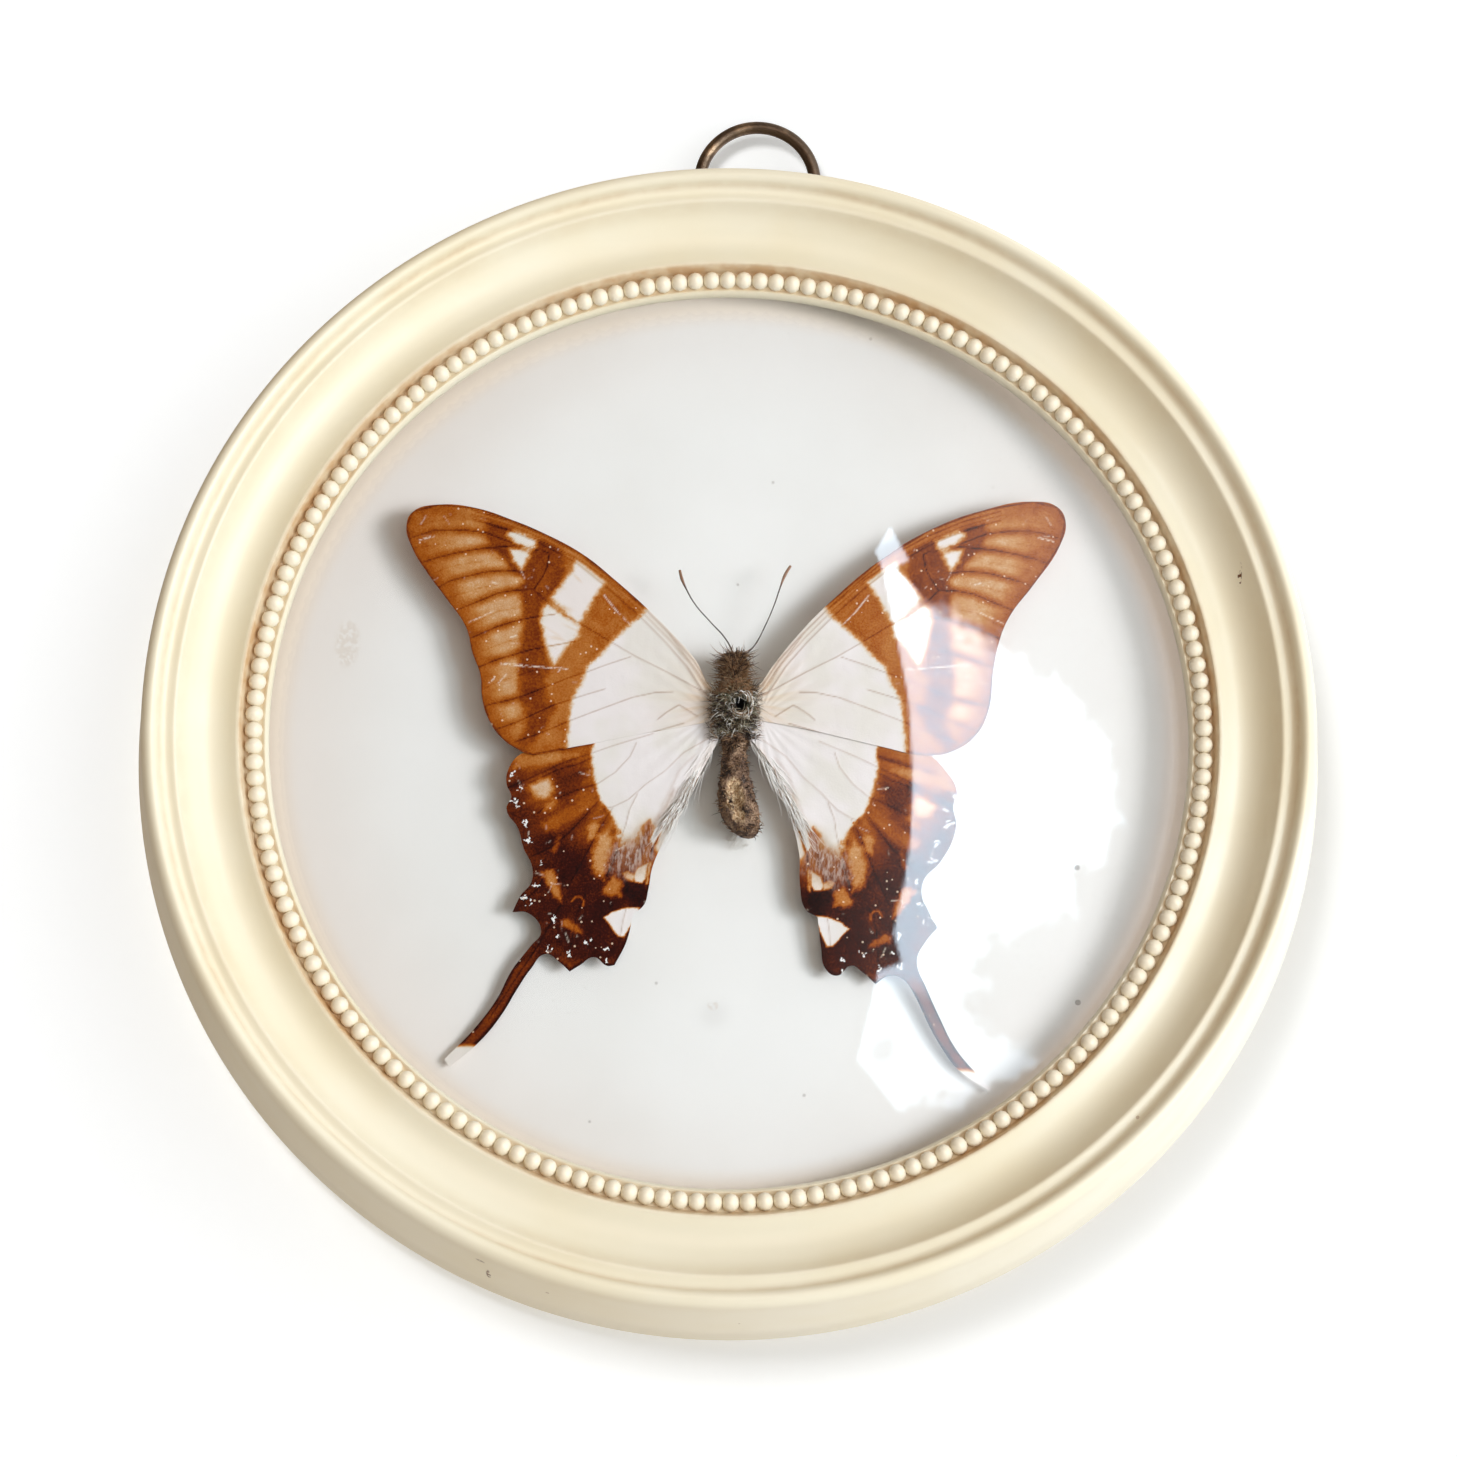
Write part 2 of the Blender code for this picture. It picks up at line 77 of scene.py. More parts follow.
# Hole that the pin left, and the middle of the fibres round it
PIN_HOLE = (1.45, 3.2)
PIN_FIBRES = (1.45, 3.1)
# Strap: half of what its two leaves lie apart, and how low they start
STRAP_LEAF = 0.2
STRAP_START = 63.6
# How much higher the forewings lie than the hindwings
FOREWING_OVER = 0.69

# Camera fitted to the photograph: its place in millimetres and its axes
CAMERA_PLACE = (2.62045, -552.24, -135.31494)
CAMERA_RIGHT = (0.99875906, -0.0073, 0.04919694)
CAMERA_DOWN = (0.04949622, 0.2426, -0.96885813)
CAMERA_AHEAD = (-0.0048644, 0.970099, 0.24266053)
CAMERA_LENS = 109.2

# Moulding's section as radius and height, from the rebate round the back and up the outer side
MOULDING = [
    (61.2, 0.25), (61.45, 0.0), (75.35, 0.0), (75.65, 0.1), (75.75, 0.4), (74.9, 6.5), (73.95, 13.2),
    (73.74, 14.9), (73.62, 15.5), (73.44, 16.0), (73.15, 16.42), (72.75, 16.68), (72.35, 16.74), (72.0, 16.62),
    (71.74, 16.34), (71.56, 15.92), (71.38, 15.4), (71.15, 15.04), (70.85, 14.86), (70.45, 14.84), (70.05, 14.92),
    (69.75, 14.98), (69.52, 14.97), (69.34, 14.86), (69.2, 14.64), (68.95, 14.16), (68.55, 13.5), (68.05, 12.84),
    (67.4, 12.26), (66.6, 11.8), (65.6, 11.48), (64.5, 11.4), (63.5, 11.58), (62.75, 11.88), (62.3, 12.14),
    (62.02, 12.24), (61.8, 12.18), (61.62, 11.9), (61.46, 11.4), (61.34, 10.85), (61.1, 10.5), (60.6, 10.38),
    (59.4, 10.38), (58.98, 10.42), (58.82, 10.55), (58.62, 10.6), (58.4, 10.42), (58.22, 10.05), (58.15, 9.55),
    (58.2, 9.05), (58.4, 8.75), (61.2, 7.8),
]
MOULDING_STEPS = 288
# Below this height the moulding is its rear, which gets no painted crease shade or soiling
REAR_OF_MOULDING = 8.0
# Radii of the creases that are painted darker, partly as soiling and partly as painted shade, with how wide and how
# strong each one is
CREASE_SOILING_AND_SHADE = [
    (71.35, 0.3, 0.4), (69.0, 0.7, 0.16), (61.55, 0.4, 0.8), (61.1, 0.4, 0.9), (58.95, 0.3, 0.6),
    (60.1, 0.9, 0.5), (73.7, 0.25, 0.1),
]

# Wing outlines in millimetres, right and up from the frame's centre. TIP marks a sharp corner.
TIP = "tip"
FOREWING_LEFT = [
    (-1.2, 5.0, TIP), (-2.5, 5.9), (-4.2, 9.1), (-7.1, 12.5), (-10.3, 15.8), (-14.3, 19.5), (-18.5, 23.0),
    (-23.4, 25.8), (-27.7, 27.7), (-32.3, 29.3), (-37.2, 29.8), (-40.4, 28.9), (-41.2, 27.0), (-40.5, 24.3),
    (-38.3, 20.6), (-35.9, 17.3), (-33.4, 13.6), (-32.5, 10.1), (-31.5, 7.4), (-31.2, 4.1), (-30.3, 1.4),
    (-28.7, -0.9), (-27.0, -2.2), (-24.8, -3.1), (-20.0, -2.2), (-16.7, -1.6), (-11.3, -0.5), (-6.2, 0.4),
    (-1.2, 1.4, TIP),
]
FOREWING_RIGHT = [
    (2.6, 4.8, TIP), (3.7, 5.8), (5.8, 8.8), (9.0, 12.8), (12.6, 16.6), (19.1, 22.3), (25.7, 26.5), (32.3, 29.1),
    (38.8, 30.4), (42.0, 29.7), (43.0, 27.8), (42.3, 24.8), (38.7, 19.3), (35.9, 15.6), (34.6, 12.9), (33.5, 8.2),
    (32.8, 2.8), (31.2, -0.4), (27.9, -2.7), (24.7, -3.1), (19.1, -2.0), (12.8, -0.5), (7.7, 0.6),
    (2.6, 1.5, TIP),
]
HINDWING_LEFT = [
    (-1.0, 2.0, TIP), (-9.0, 0.9), (-16.3, -0.5), (-26.3, -3.0), (-27.8, -4.9), (-28.0, -6.8), (-27.4, -8.3),
    (-28.0, -9.9), (-26.5, -12.4), (-25.8, -14.9), (-24.7, -17.3), (-24.8, -19.3), (-26.1, -20.9),
    (-27.1, -23.0, TIP), (-25.2, -23.1), (-23.5, -25.5), (-24.8, -27.3), (-27.1, -30.3), (-29.0, -34.0),
    (-31.5, -37.4), (-35.4, -41.5, TIP), (-34.7, -42.5, TIP), (-30.6, -38.8), (-28.2, -35.7), (-26.5, -32.8),
    (-24.7, -30.1), (-23.0, -28.3), (-21.2, -29.3), (-19.9, -30.5, TIP), (-18.6, -29.7), (-16.9, -28.7),
    (-15.2, -29.8), (-14.3, -29.7, TIP), (-12.8, -26.7), (-12.0, -23.2, TIP), (-10.7, -22.2), (-10.1, -20.1),
    (-9.6, -17.3), (-7.8, -13.3), (-5.4, -8.9), (-3.3, -4.9), (-1.4, -1.4, TIP),
]
HINDWING_RIGHT = [
    (2.4, 2.0, TIP), (10.0, 1.0), (24.4, -2.4), (27.3, -5.0), (28.7, -7.6), (28.2, -9.6), (28.6, -11.9),
    (26.4, -16.8), (24.6, -18.6), (24.2, -20.9), (25.0, -22.8), (26.1, -24.9, TIP), (24.6, -26.7), (23.5, -29.0),
    (24.7, -32.6), (26.4, -36.5), (28.1, -39.9), (30.4, -42.8), (32.7, -45.1, TIP), (32.3, -45.4, TIP),
    (28.4, -42.6), (26.3, -39.7), (24.6, -36.5), (23.2, -33.5), (21.8, -31.5), (20.1, -31.0), (18.3, -32.0, TIP),
    (16.5, -30.4), (15.3, -29.7), (13.5, -31.0), (12.1, -30.2), (11.5, -27.4), (11.1, -23.6, TIP), (9.6, -22.7),
    (8.9, -19.7), (8.8, -15.6), (7.7, -11.1), (5.4, -4.6), (2.8, -1.2, TIP),
]

# Forewing pattern, read on the left wing
FOREWING_INNER_EDGE = [
    (-10.6, 15.8), (-11.4, 14.8), (-12.8, 13.6), (-14.9, 11.6), (-16.0, 10.2), (-18.0, 8.4), (-18.5, 6.6),
    (-19.9, 4.0), (-20.2, 1.6), (-20.4, -0.8), (-20.8, -6.0), (-50.0, -6.0), (-50.0, 40.0), (-4.0, 40.0),
]
FOREWING_STRIPE = [
    (-30.7, 30.0), (-31.0, 25.7), (-30.5, 24.1), (-29.5, 23.2), (-28.4, 22.0), (-27.7, 21.1), (-26.4, 20.2),
    (-26.1, 19.6), (-26.9, 18.5), (-26.3, 17.3), (-26.0, 14.3), (-26.4, 12.0), (-26.6, 9.0), (-26.6, 6.6),
    (-26.3, 3.6), (-25.4, 2.1), (-25.4, 0.6), (-26.8, -1.8), (-25.9, -3.0), (-23.1, 0.6), (-21.9, 2.9),
    (-23.0, 4.3), (-23.4, 6.6), (-22.7, 8.1), (-23.1, 9.6), (-23.5, 12.8), (-24.0, 14.3), (-23.7, 16.6),
    (-22.4, 17.6), (-21.5, 18.8), (-21.0, 21.1), (-22.0, 30.0),
]
FOREWING_PALE = [
    [(-27.9, 26.2), (-26.7, 26.1), (-24.5, 25.0), (-25.0, 23.9), (-27.1, 24.5), (-28.2, 25.7)],
    [(-27.9, 23.8), (-25.2, 23.7), (-25.7, 22.6), (-26.4, 21.1), (-27.4, 22.3)],
    [(-19.4, 22.4), (-15.7, 19.5), (-16.9, 17.9), (-18.5, 14.9), (-19.1, 13.8), (-20.5, 15.1), (-22.1, 16.9),
     (-22.6, 17.5), (-20.8, 19.8), (-19.9, 20.9)],
    [(-23.6, 15.9), (-23.0, 16.4), (-21.3, 15.2), (-19.1, 13.6), (-19.1, 12.5), (-20.0, 11.6), (-20.8, 10.7),
     (-21.7, 9.3), (-22.1, 8.7), (-22.7, 9.6), (-23.2, 11.1), (-23.5, 12.6), (-23.9, 14.2)],
]
FOREWING_VEINS = [
    [(-40.1, 26.7), (-38.3, 27.5), (-36.1, 27.8)],
    [(-40.9, 25.3), (-37.9, 26.3), (-36.3, 26.4), (-33.9, 26.4), (-31.0, 26.0), (-27.8, 24.7), (-24.4, 23.6)],
    [(-40.2, 24.1), (-37.8, 24.4), (-34.9, 24.8)],
    [(-39.5, 22.0), (-37.1, 22.8), (-35.0, 23.3), (-32.4, 23.8), (-30.7, 24.0), (-28.0, 24.2), (-27.1, 24.3)],
    [(-38.2, 20.4), (-36.0, 21.4), (-33.9, 21.9), (-31.5, 22.2)],
    [(-37.0, 18.8), (-35.7, 19.6), (-33.1, 20.3), (-31.2, 20.8), (-28.7, 21.0), (-26.1, 20.8)],
    [(-35.8, 17.4), (-33.8, 18.0), (-31.8, 18.7), (-29.4, 19.1)],
    [(-34.6, 15.8), (-31.7, 17.0), (-29.4, 18.0), (-27.2, 18.4), (-24.9, 18.5)],
    [(-33.4, 13.4), (-31.4, 14.6), (-29.4, 15.6), (-27.2, 16.0)],
    [(-32.8, 12.1), (-31.4, 12.7), (-29.4, 13.6), (-27.2, 14.3), (-25.0, 14.8), (-22.1, 15.2)],
    [(-32.4, 9.9), (-30.0, 10.9), (-27.9, 11.7), (-26.0, 12.2)],
    [(-31.7, 8.3), (-29.3, 9.3), (-27.0, 10.0), (-24.9, 10.6), (-19.6, 11.6)],
    [(-31.2, 5.4), (-29.2, 6.4), (-27.5, 6.9), (-26.0, 7.4), (-24.3, 8.0)],
    [(-30.9, 3.2), (-29.9, 3.5), (-27.7, 4.0), (-26.0, 4.5), (-24.3, 5.2), (-20.2, 6.9), (-18.0, 7.6),
     (-15.1, 8.7), (-12.4, 9.6)],
    [(-29.6, 0.1), (-26.5, 1.2), (-24.5, 2.2), (-22.4, 3.2), (-19.5, 4.2), (-15.6, 5.4)],
    [(-27.1, -1.5), (-24.5, -0.6), (-22.3, 0.3), (-20.2, 1.2), (-15.6, 3.0), (-12.1, 4.3), (-9.4, 4.9),
     (-7.1, 5.0)],
    [(-24.9, 18.5), (-23.6, 17.2), (-21.6, 15.5), (-18.6, 13.8), (-15.1, 11.6), (-11.8, 9.6), (-7.9, 7.6),
     (-4.0, 5.4), (-2.6, 4.8)],
    [(-23.8, 23.6), (-22.9, 23.2), (-23.2, 21.4), (-23.7, 20.2), (-24.8, 18.5)],
    [(-30.0, 26.9), (-24.0, 24.9), (-18.7, 22.1), (-15.1, 19.5), (-10.6, 15.8), (-7.9, 13.0), (-5.9, 10.2),
     (-4.0, 7.6), (-2.6, 5.4)],
    [(-4.0, 1.8), (-6.3, 3.3), (-7.8, 2.4), (-9.0, 1.4)],
    [(-5.7, 0.9), (-9.4, -0.2), (-13.6, -1.6), (-16.9, -2.8)],
]
FOREWING_FRONT = [
    (-34.0, 29.7), (-28.0, 27.9), (-23.4, 25.9), (-18.5, 23.1), (-14.3, 19.6), (-10.3, 15.9), (-7.1, 12.6),
    (-4.2, 9.2), (-2.2, 6.0),
]
# The short folds between the veins, which are fainter
FOREWING_FOLDS = [FOREWING_VEINS[index] for index in (0, 2, 4, 6, 8, 10, 12)]
# Rubbed lines, where the scales are gone: start, end and how wide
FOREWING_RUBS = [
    ((-39.6, 25.1), (-37.7, 25.6), 0.12), ((-28.8, 8.75), (-26.0, 8.45), 0.16), ((-26.0, 8.45), (-20.5, 8.0), 0.1),
    ((-15.9, 17.7), (-14.3, 15.6), 0.1), ((-14.3, 15.6), (-12.6, 13.8), 0.08), ((-30.4, 6.2), (-29.6, 6.9), 0.1),
    ((-29.2, 6.2), (-28.2, 7.3), 0.09), ((-33.0, 14.2), (-30.0, 15.6), 0.08), ((-30.2, 19.5), (-29.4, 19.2), 0.12),
    ((-27.8, 12.2), (-27.0, 12.4), 0.12), ((-21.6, 7.6), (-21.3, 8.2), 0.08),
]

# Hindwing pattern, read on the left wing
HINDWING_BASE = [
    (-17.0, 4.0), (-17.0, -1.4), (-17.4, -3.0), (-17.1, -5.0), (-16.8, -6.6), (-16.3, -8.6), (-15.4, -9.8),
    (-14.6, -11.0), (-13.8, -12.9), (-13.6, -14.5), (-12.8, -14.3), (-11.5, -13.7), (-10.9, -12.1),
    (-10.0, -11.2), (-8.8, -14.0), (-8.0, -16.0), (-4.0, -12.0), (0.0, -2.0), (0.0, 4.0),
]
HINDWING_VEINS = [
    [(-1.9, -0.6), (-5.7, -2.8), (-8.1, -5.2), (-10.4, -6.8), (-12.7, -8.8), (-14.6, -9.7), (-15.6, -9.9)],
    [(-9.6, -0.4), (-11.9, -1.1), (-14.8, -2.0), (-17.0, -2.8), (-20.6, -4.0), (-24.1, -5.6), (-27.7, -7.2)],
    [(-11.7, -1.6), (-12.5, -3.4), (-14.4, -5.4), (-16.4, -6.7), (-19.2, -7.6), (-22.1, -8.8), (-24.0, -10.4)],
    [(-14.6, -9.8), (-15.4, -11.0), (-16.5, -12.9), (-17.8, -15.5), (-19.0, -17.7), (-20.3, -20.0)],
    [(-11.5, -8.0), (-12.5, -10.0), (-13.0, -12.1), (-13.6, -13.7), (-14.5, -16.7), (-15.5, -18.8)],
    [(-16.5, -9.0), (-18.4, -11.2), (-20.2, -13.1), (-22.5, -14.9), (-24.6, -15.9)],
    [(-17.0, -3.4), (-19.3, -4.4), (-21.6, -5.0), (-25.0, -6.6)],
    [(-17.4, -1.6), (-20.8, -2.4), (-24.5, -3.0)],
    [(-23.0, -18.1), (-23.9, -20.0), (-25.8, -21.8)],
    [(-18.0, -20.8), (-19.1, -23.4), (-19.5, -25.9), (-20.0, -28.6)],
    [(-21.0, -22.0), (-22.2, -24.3), (-23.9, -27.3), (-26.1, -30.6), (-30.0, -36.6)],
    [(-12.9, -22.7), (-13.3, -24.3), (-13.6, -26.3)],
]
# Pale shapes in the dark field: outline, tone in the middle and how soft the edge is
HINDWING_SPOTS = [
    ([(-25.1, -7.0), (-24.1, -6.5), (-22.7, -6.1), (-22.1, -7.6), (-23.1, -8.6), (-24.3, -8.4)], 0.22, 0.5),
    ([(-23.3, -9.4), (-22.1, -8.4), (-21.6, -8.8), (-22.3, -10.0), (-23.3, -10.2)], 0.46, 0.3),
    ([(-23.6, -11.6), (-21.2, -10.7), (-21.0, -12.4), (-23.0, -12.9)], 0.58, 0.5),
    ([(-22.4, -15.2), (-21.4, -13.2), (-20.9, -13.6), (-21.9, -15.6)], 0.62, 0.3),
    ([(-17.7, -12.1), (-16.9, -11.6), (-16.3, -12.1), (-16.9, -13.7), (-17.7, -14.1)], 0.36, 0.4),
    ([(-16.3, -13.3), (-15.3, -12.9), (-14.5, -13.7), (-14.7, -15.1), (-15.3, -16.9), (-15.7, -18.8),
      (-16.9, -18.1), (-17.3, -16.1)], 0.3, 0.6),
    ([(-15.3, -19.4), (-14.4, -18.5), (-13.4, -19.2), (-13.6, -21.0), (-14.9, -21.0), (-15.9, -20.6)], 0.4, 0.45),
    ([(-23.5, -18.1), (-22.2, -17.7), (-21.5, -18.7), (-21.1, -20.8), (-21.0, -21.8), (-21.8, -21.2),
      (-22.8, -19.4)], 0.36, 0.35),
    ([(-21.1, -24.1), (-20.3, -23.9), (-18.9, -24.7), (-18.3, -25.8), (-19.5, -25.5), (-20.8, -24.8)], 0.54, 0.3),
    ([(-26.6, -3.4), (-22.0, -2.6), (-19.0, -3.1), (-22.0, -4.2), (-27.4, -4.9)], 0.42, 0.5),
    ([(-11.9, -18.6), (-11.5, -17.5), (-10.2, -16.9), (-10.5, -18.8), (-10.9, -19.3), (-11.8, -19.3)], 0.08, 0.15),
    ([(-13.4, -18.1), (-12.6, -17.8), (-11.9, -18.4), (-12.0, -19.2), (-13.0, -18.8)], 0.12, 0.2),
    ([(-15.7, -23.7), (-14.5, -23.0), (-12.8, -22.5), (-11.2, -22.5), (-12.6, -25.3), (-13.1, -26.2),
      (-13.9, -26.1), (-14.9, -24.7)], 0.0, 0.15),
]
HINDWING_DARK = [
    ([(-22.4, -4.8), (-18.1, -4.6), (-18.1, -6.2), (-20.4, -9.0), (-22.0, -7.6), (-22.5, -5.6)], 0.86, 0.7),
    ([(-13.4, -19.5), (-11.8, -19.3), (-10.5, -19.5), (-10.0, -20.0), (-10.6, -22.4), (-12.0, -22.6),
      (-12.8, -21.6)], 0.97, 0.25),
]
HINDWING_HAZE = [
    (-14.6, -17.3), (-14.2, -15.3), (-13.4, -14.5), (-11.9, -13.7), (-10.4, -10.6), (-8.0, -7.0), (-6.7, -6.8),
    (-7.3, -9.0), (-8.8, -11.7), (-9.6, -13.7), (-9.6, -16.5), (-11.5, -17.5), (-13.4, -17.9),
]
HINDWING_CHIP = [(-8.4, -11.8), (-8.7, -12.9), (-9.5, -14.5), (-9.9, -13.9), (-9.3, -12.5)]
# Brown streaks and dark or pale cracks by the inner margin: line, width, and strength or tone
HINDWING_STREAKS = [
    ([(-4.4, -3.2), (-6.2, -5.0), (-7.4, -7.6), (-8.8, -10.4), (-9.6, -12.4)], 0.22, 0.5),
    ([(-7.0, -7.6), (-8.0, -9.8), (-9.4, -11.8), (-10.7, -13.9), (-11.3, -16.2)], 0.34, 1.0),
    ([(-6.4, -7.4), (-7.6, -9.9), (-8.7, -12.0)], 0.2, 0.7),
]
HINDWING_CRACKS = [
    ([(-8.3, -12.1), (-8.9, -13.5), (-9.6, -15.0), (-9.8, -16.2)], 0.14, 0.86),
    ([(-9.9, -16.9), (-10.3, -19.4)], 0.16, 0.3),
]
HINDWING_HOOK = [(-19.7, -21.7), (-19.2, -21.1), (-18.6, -21.1), (-18.2, -21.6), (-18.3, -22.3)]
HINDWING_INNER_MARGIN = [(-1.9, -2.4), (-4.4, -6.5), (-6.6, -10.8), (-8.4, -14.8)]
# Silvery crescents along the margin: place and size
HINDWING_SILVER = [
    (-27.1, -5.6, 0.42), (-26.2, -7.4, 0.36), (-27.0, -9.0, 0.42), (-26.6, -9.6, 0.3), (-25.5, -12.0, 0.4),
    (-25.3, -13.9, 0.42), (-25.0, -14.3, 0.3), (-23.6, -17.0, 0.38), (-24.1, -19.8, 0.42), (-25.5, -21.1, 0.5),
    (-24.9, -21.7, 0.4), (-22.1, -24.0, 0.44), (-21.5, -26.2, 0.28), (-22.5, -27.7, 0.48), (-19.8, -28.6, 0.5),
    (-17.7, -26.9, 0.38), (-15.1, -27.8, 0.4), (-15.3, -29.2, 0.28),
]

# Scratches and stains on the moulding, and a smudge on the card: place and half sizes in metres
PLASTIC_MARKS = [
    ((-0.0272, -0.0130, -0.0704), (0.0011, 0.0008, 0.0022)),
    ((-0.0262, -0.0086, -0.0708), (0.0004, 0.0024, 0.0022)),
    ((0.0638, -0.0128, 0.0229), (0.0003, 0.0020, 0.0019)),
    ((-0.0566, -0.0136, 0.0146), (0.0009, 0.0012, 0.0005)),
]
CARD_MARKS = [
    ((-0.0003, -0.0034, -0.0346), (0.0009, 0.0100, 0.0007)),
    ((-0.0492, -0.0034, 0.0099), (0.0020, 0.0100, 0.0040)),
]

# Antennae in millimetres, from the brow to the clubbed end, with how thick the wire is at each point
ANTENNA_LEFT = [
    (0.5, 10.0), (0.1, 11.0), (-0.7, 12.3), (-2.4, 14.2), (-4.4, 16.6), (-5.4, 18.4), (-6.0, 19.8), (-6.3, 21.0),
]
ANTENNA_RIGHT = [
    (1.7, 9.4), (2.3, 10.1), (3.2, 11.1), (4.7, 14.0), (5.7, 16.4), (6.5, 18.8), (7.1, 20.4), (7.8, 21.6),
]
CLUB_SWELL = [0.62, 0.6, 0.55, 0.5, 0.5, 0.6, 1.35, 1.15]

# Half width of the body at places along it, from the brow to the tail end
BODY_PROFILE = [
    (0.35, 10.35), (1.0, 10.1), (1.55, 9.3), (1.68, 8.6), (1.55, 7.8), (1.3, 7.1), (1.75, 6.3), (2.3, 5.2),
    (2.55, 4.0), (2.6, 2.8), (2.4, 1.5), (2.05, 0.3), (1.6, -0.9), (1.4, -2.0), (1.45, -3.2), (1.65, -4.7),
    (1.95, -6.4), (2.3, -8.4), (2.45, -10.2), (2.25, -11.7), (1.7, -12.8), (0.9, -13.6), (0.3, -13.8),
]

# Window seen in the dome, as bearings right of straight ahead and up, in degrees
WINDOW_OUTLINE = [
    (15.7, 33.8), (13.9, 31.2), (14.6, 29.3), (15.8, 22.8), (16.9, 16.7), (17.3, 10.2), (17.4, 3.8), (17.0, -0.8),
    (16.3, -5.6), (17.3, -8.2), (15.1, -9.3), (13.9, -17.6), (18.6, -21.9), (27.8, -18.9), (32.6, -15.6),
    (27.3, -13.5), (24.1, -11.7), (25.2, -8.9), (22.7, -7.4), (25.7, -5.0), (29.4, -3.5), (32.6, -1.7),
    (32.9, 0.5), (35.5, 4.0), (36.9, 6.8), (37.1, 10.3), (36.3, 13.3), (33.8, 17.1), (31.5, 19.2), (25.4, 23.4),
    (22.1, 25.6), (18.4, 26.6), (18.0, 27.7), (15.9, 29.6), (17.5, 30.4),
]
# Which of its edges have leaves before them, the first and the last
WINDOW_LEAVES = (12, 32)


def srgb(red, green, blue):
    """A colour given as in a paint program, from 0 to 255, as Blender's linear values."""
    values = []
    for level in (red, green, blue):
        level /= 255
        values.append(level / 12.92 if level <= 0.04045 else ((level + 0.055) / 1.055) ** 2.4)
    return tuple(values)


class SpecimenSizes(PropertyGroup):
    """Sizes that a user may change."""

    bead_count: IntProperty(name="Beads", description="How many beads the rim has", default=180, min=12)
    bead_radius: FloatProperty(name="Bead radius", description="Radius of one bead", default=1.12 * MM,
                               subtype="DISTANCE", unit="LENGTH")
    glass_thickness: FloatProperty(name="Glass thickness", description="Thickness of the domed glass",
                                   default=1.3 * MM, subtype="DISTANCE", unit="LENGTH")
    wing_thickness: FloatProperty(name="Wing thickness", description="Thickness of a wing", default=0.12 * MM,
                                  subtype="DISTANCE", unit="LENGTH")
    wing_grain: FloatProperty(name="Wing mesh size", description="Distance between the points of a wing's mesh",
                              default=0.17 * MM, subtype="DISTANCE", unit="LENGTH")
    ring_wire: FloatProperty(name="Ring wire radius", description="Radius of the ring's wire", default=0.82 * MM,
                             subtype="DISTANCE", unit="LENGTH")
    hair_count: IntProperty(name="Hairs", description="How many hairs the body carries", default=2300, min=0)


class SpecimenColours(PropertyGroup):
    """Colours that a user may change."""

    ivory: FloatVectorProperty(name="Ivory", description="Clean plastic of the moulding", subtype="COLOR", size=3,
                               min=0.0, max=1.0, default=srgb(238, 231, 207))
    # Colour of the soiling in the moulding's creases, which also stands for painted shade there
    grime_and_shade: FloatVectorProperty(name="Grime", description="Dirt in the moulding's creases", subtype="COLOR", size=3,
                               min=0.0, max=1.0, default=srgb(188, 138, 78))
    card: FloatVectorProperty(name="Card", description="Backing card", subtype="COLOR", size=3,
                              min=0.0, max=1.0, default=srgb(247, 247, 244))
    board: FloatVectorProperty(name="Board", description="Back board", subtype="COLOR", size=3,
                               min=0.0, max=1.0, default=srgb(150, 122, 88))
    bronze: FloatVectorProperty(name="Bronze", description="Hanging ring", subtype="COLOR", size=3,
                                min=0.0, max=1.0, default=srgb(88, 72, 58))
    steel: FloatVectorProperty(name="Steel", description="Hanger strap", subtype="COLOR", size=3,
                               min=0.0, max=1.0, default=srgb(166, 160, 150))
    brass: FloatVectorProperty(name="Brass", description="Hanger nail", subtype="COLOR", size=3,
                               min=0.0, max=1.0, default=srgb(190, 160, 96))


# Node helpers


def add(tree, kind, inputs=None, **settings):
    """Add a node, set its options, and give its inputs, by name or number, a value or another node's output."""
    made = tree.nodes.new(kind)
    for key, value in settings.items():
        setattr(made, key, value)
    for key, value in (inputs or {}).items():
        if isinstance(value, bpy.types.NodeSocket):
            tree.links.new(value, made.inputs[key])
        else:
            made.inputs[key].default_value = value
    return made


def maths(tree, operation, first, second=0.5, clamp=False):
    return add(tree, "ShaderNodeMath", {0: first, 1: second}, operation=operation, use_clamp=clamp).outputs[0]


def spread(tree, value, low, high, new_low=0.0, new_high=1.0):
    """Remap a value smoothly from one range to another."""
    inputs = {"Value": value, 1: low, 2: high, 3: new_low, 4: new_high}
    return add(tree, "ShaderNodeMapRange", inputs, interpolation_type="SMOOTHSTEP").outputs[0]


def mixed(tree, factor, first, second):
    """Mix two colours."""
    colours = [c if isinstance(c, bpy.types.NodeSocket) else (*c[:3], 1.0) for c in (first, second)]
    node = add(tree, "ShaderNodeMix", {0: factor, 6: colours[0], 7: colours[1]}, data_type="RGBA")
    return node.outputs[2]


def ramp(tree, factor, stops):
    """A colour ramp from (place, colour) stops."""
    node = add(tree, "ShaderNodeValToRGB", {0: factor})
    elements = node.color_ramp.elements
    while len(elements) < len(stops):
        elements.new(0.5)
    for element, (place, colour) in zip(elements, stops):
        element.position = place
        element.color = (*colour, 1.0)
    return node.outputs[0]


def attribute(tree, name):
    return add(tree, "ShaderNodeAttribute", attribute_name=name).outputs["Fac"]


def noise_value(tree, vector, scale, detail=2.0, roughness=0.55):
    inputs = {"Vector": vector, "Scale": scale, "Detail": detail, "Roughness": roughness}
    return add(tree, "ShaderNodeTexNoise", inputs).outputs[0]


def stretched(tree, vector, scale, location=(0.0, 0.0, 0.0)):
    """Scale a pattern by different amounts along the three axes."""
    return add(tree, "ShaderNodeMapping", {"Vector": vector, "Scale": scale, "Location": location}).outputs[0]


def bumped(tree, height, distance, strength=0.5):
    inputs = {"Height": height, "Distance": distance, "Strength": strength}
    return add(tree, "ShaderNodeBump", inputs).outputs[0]


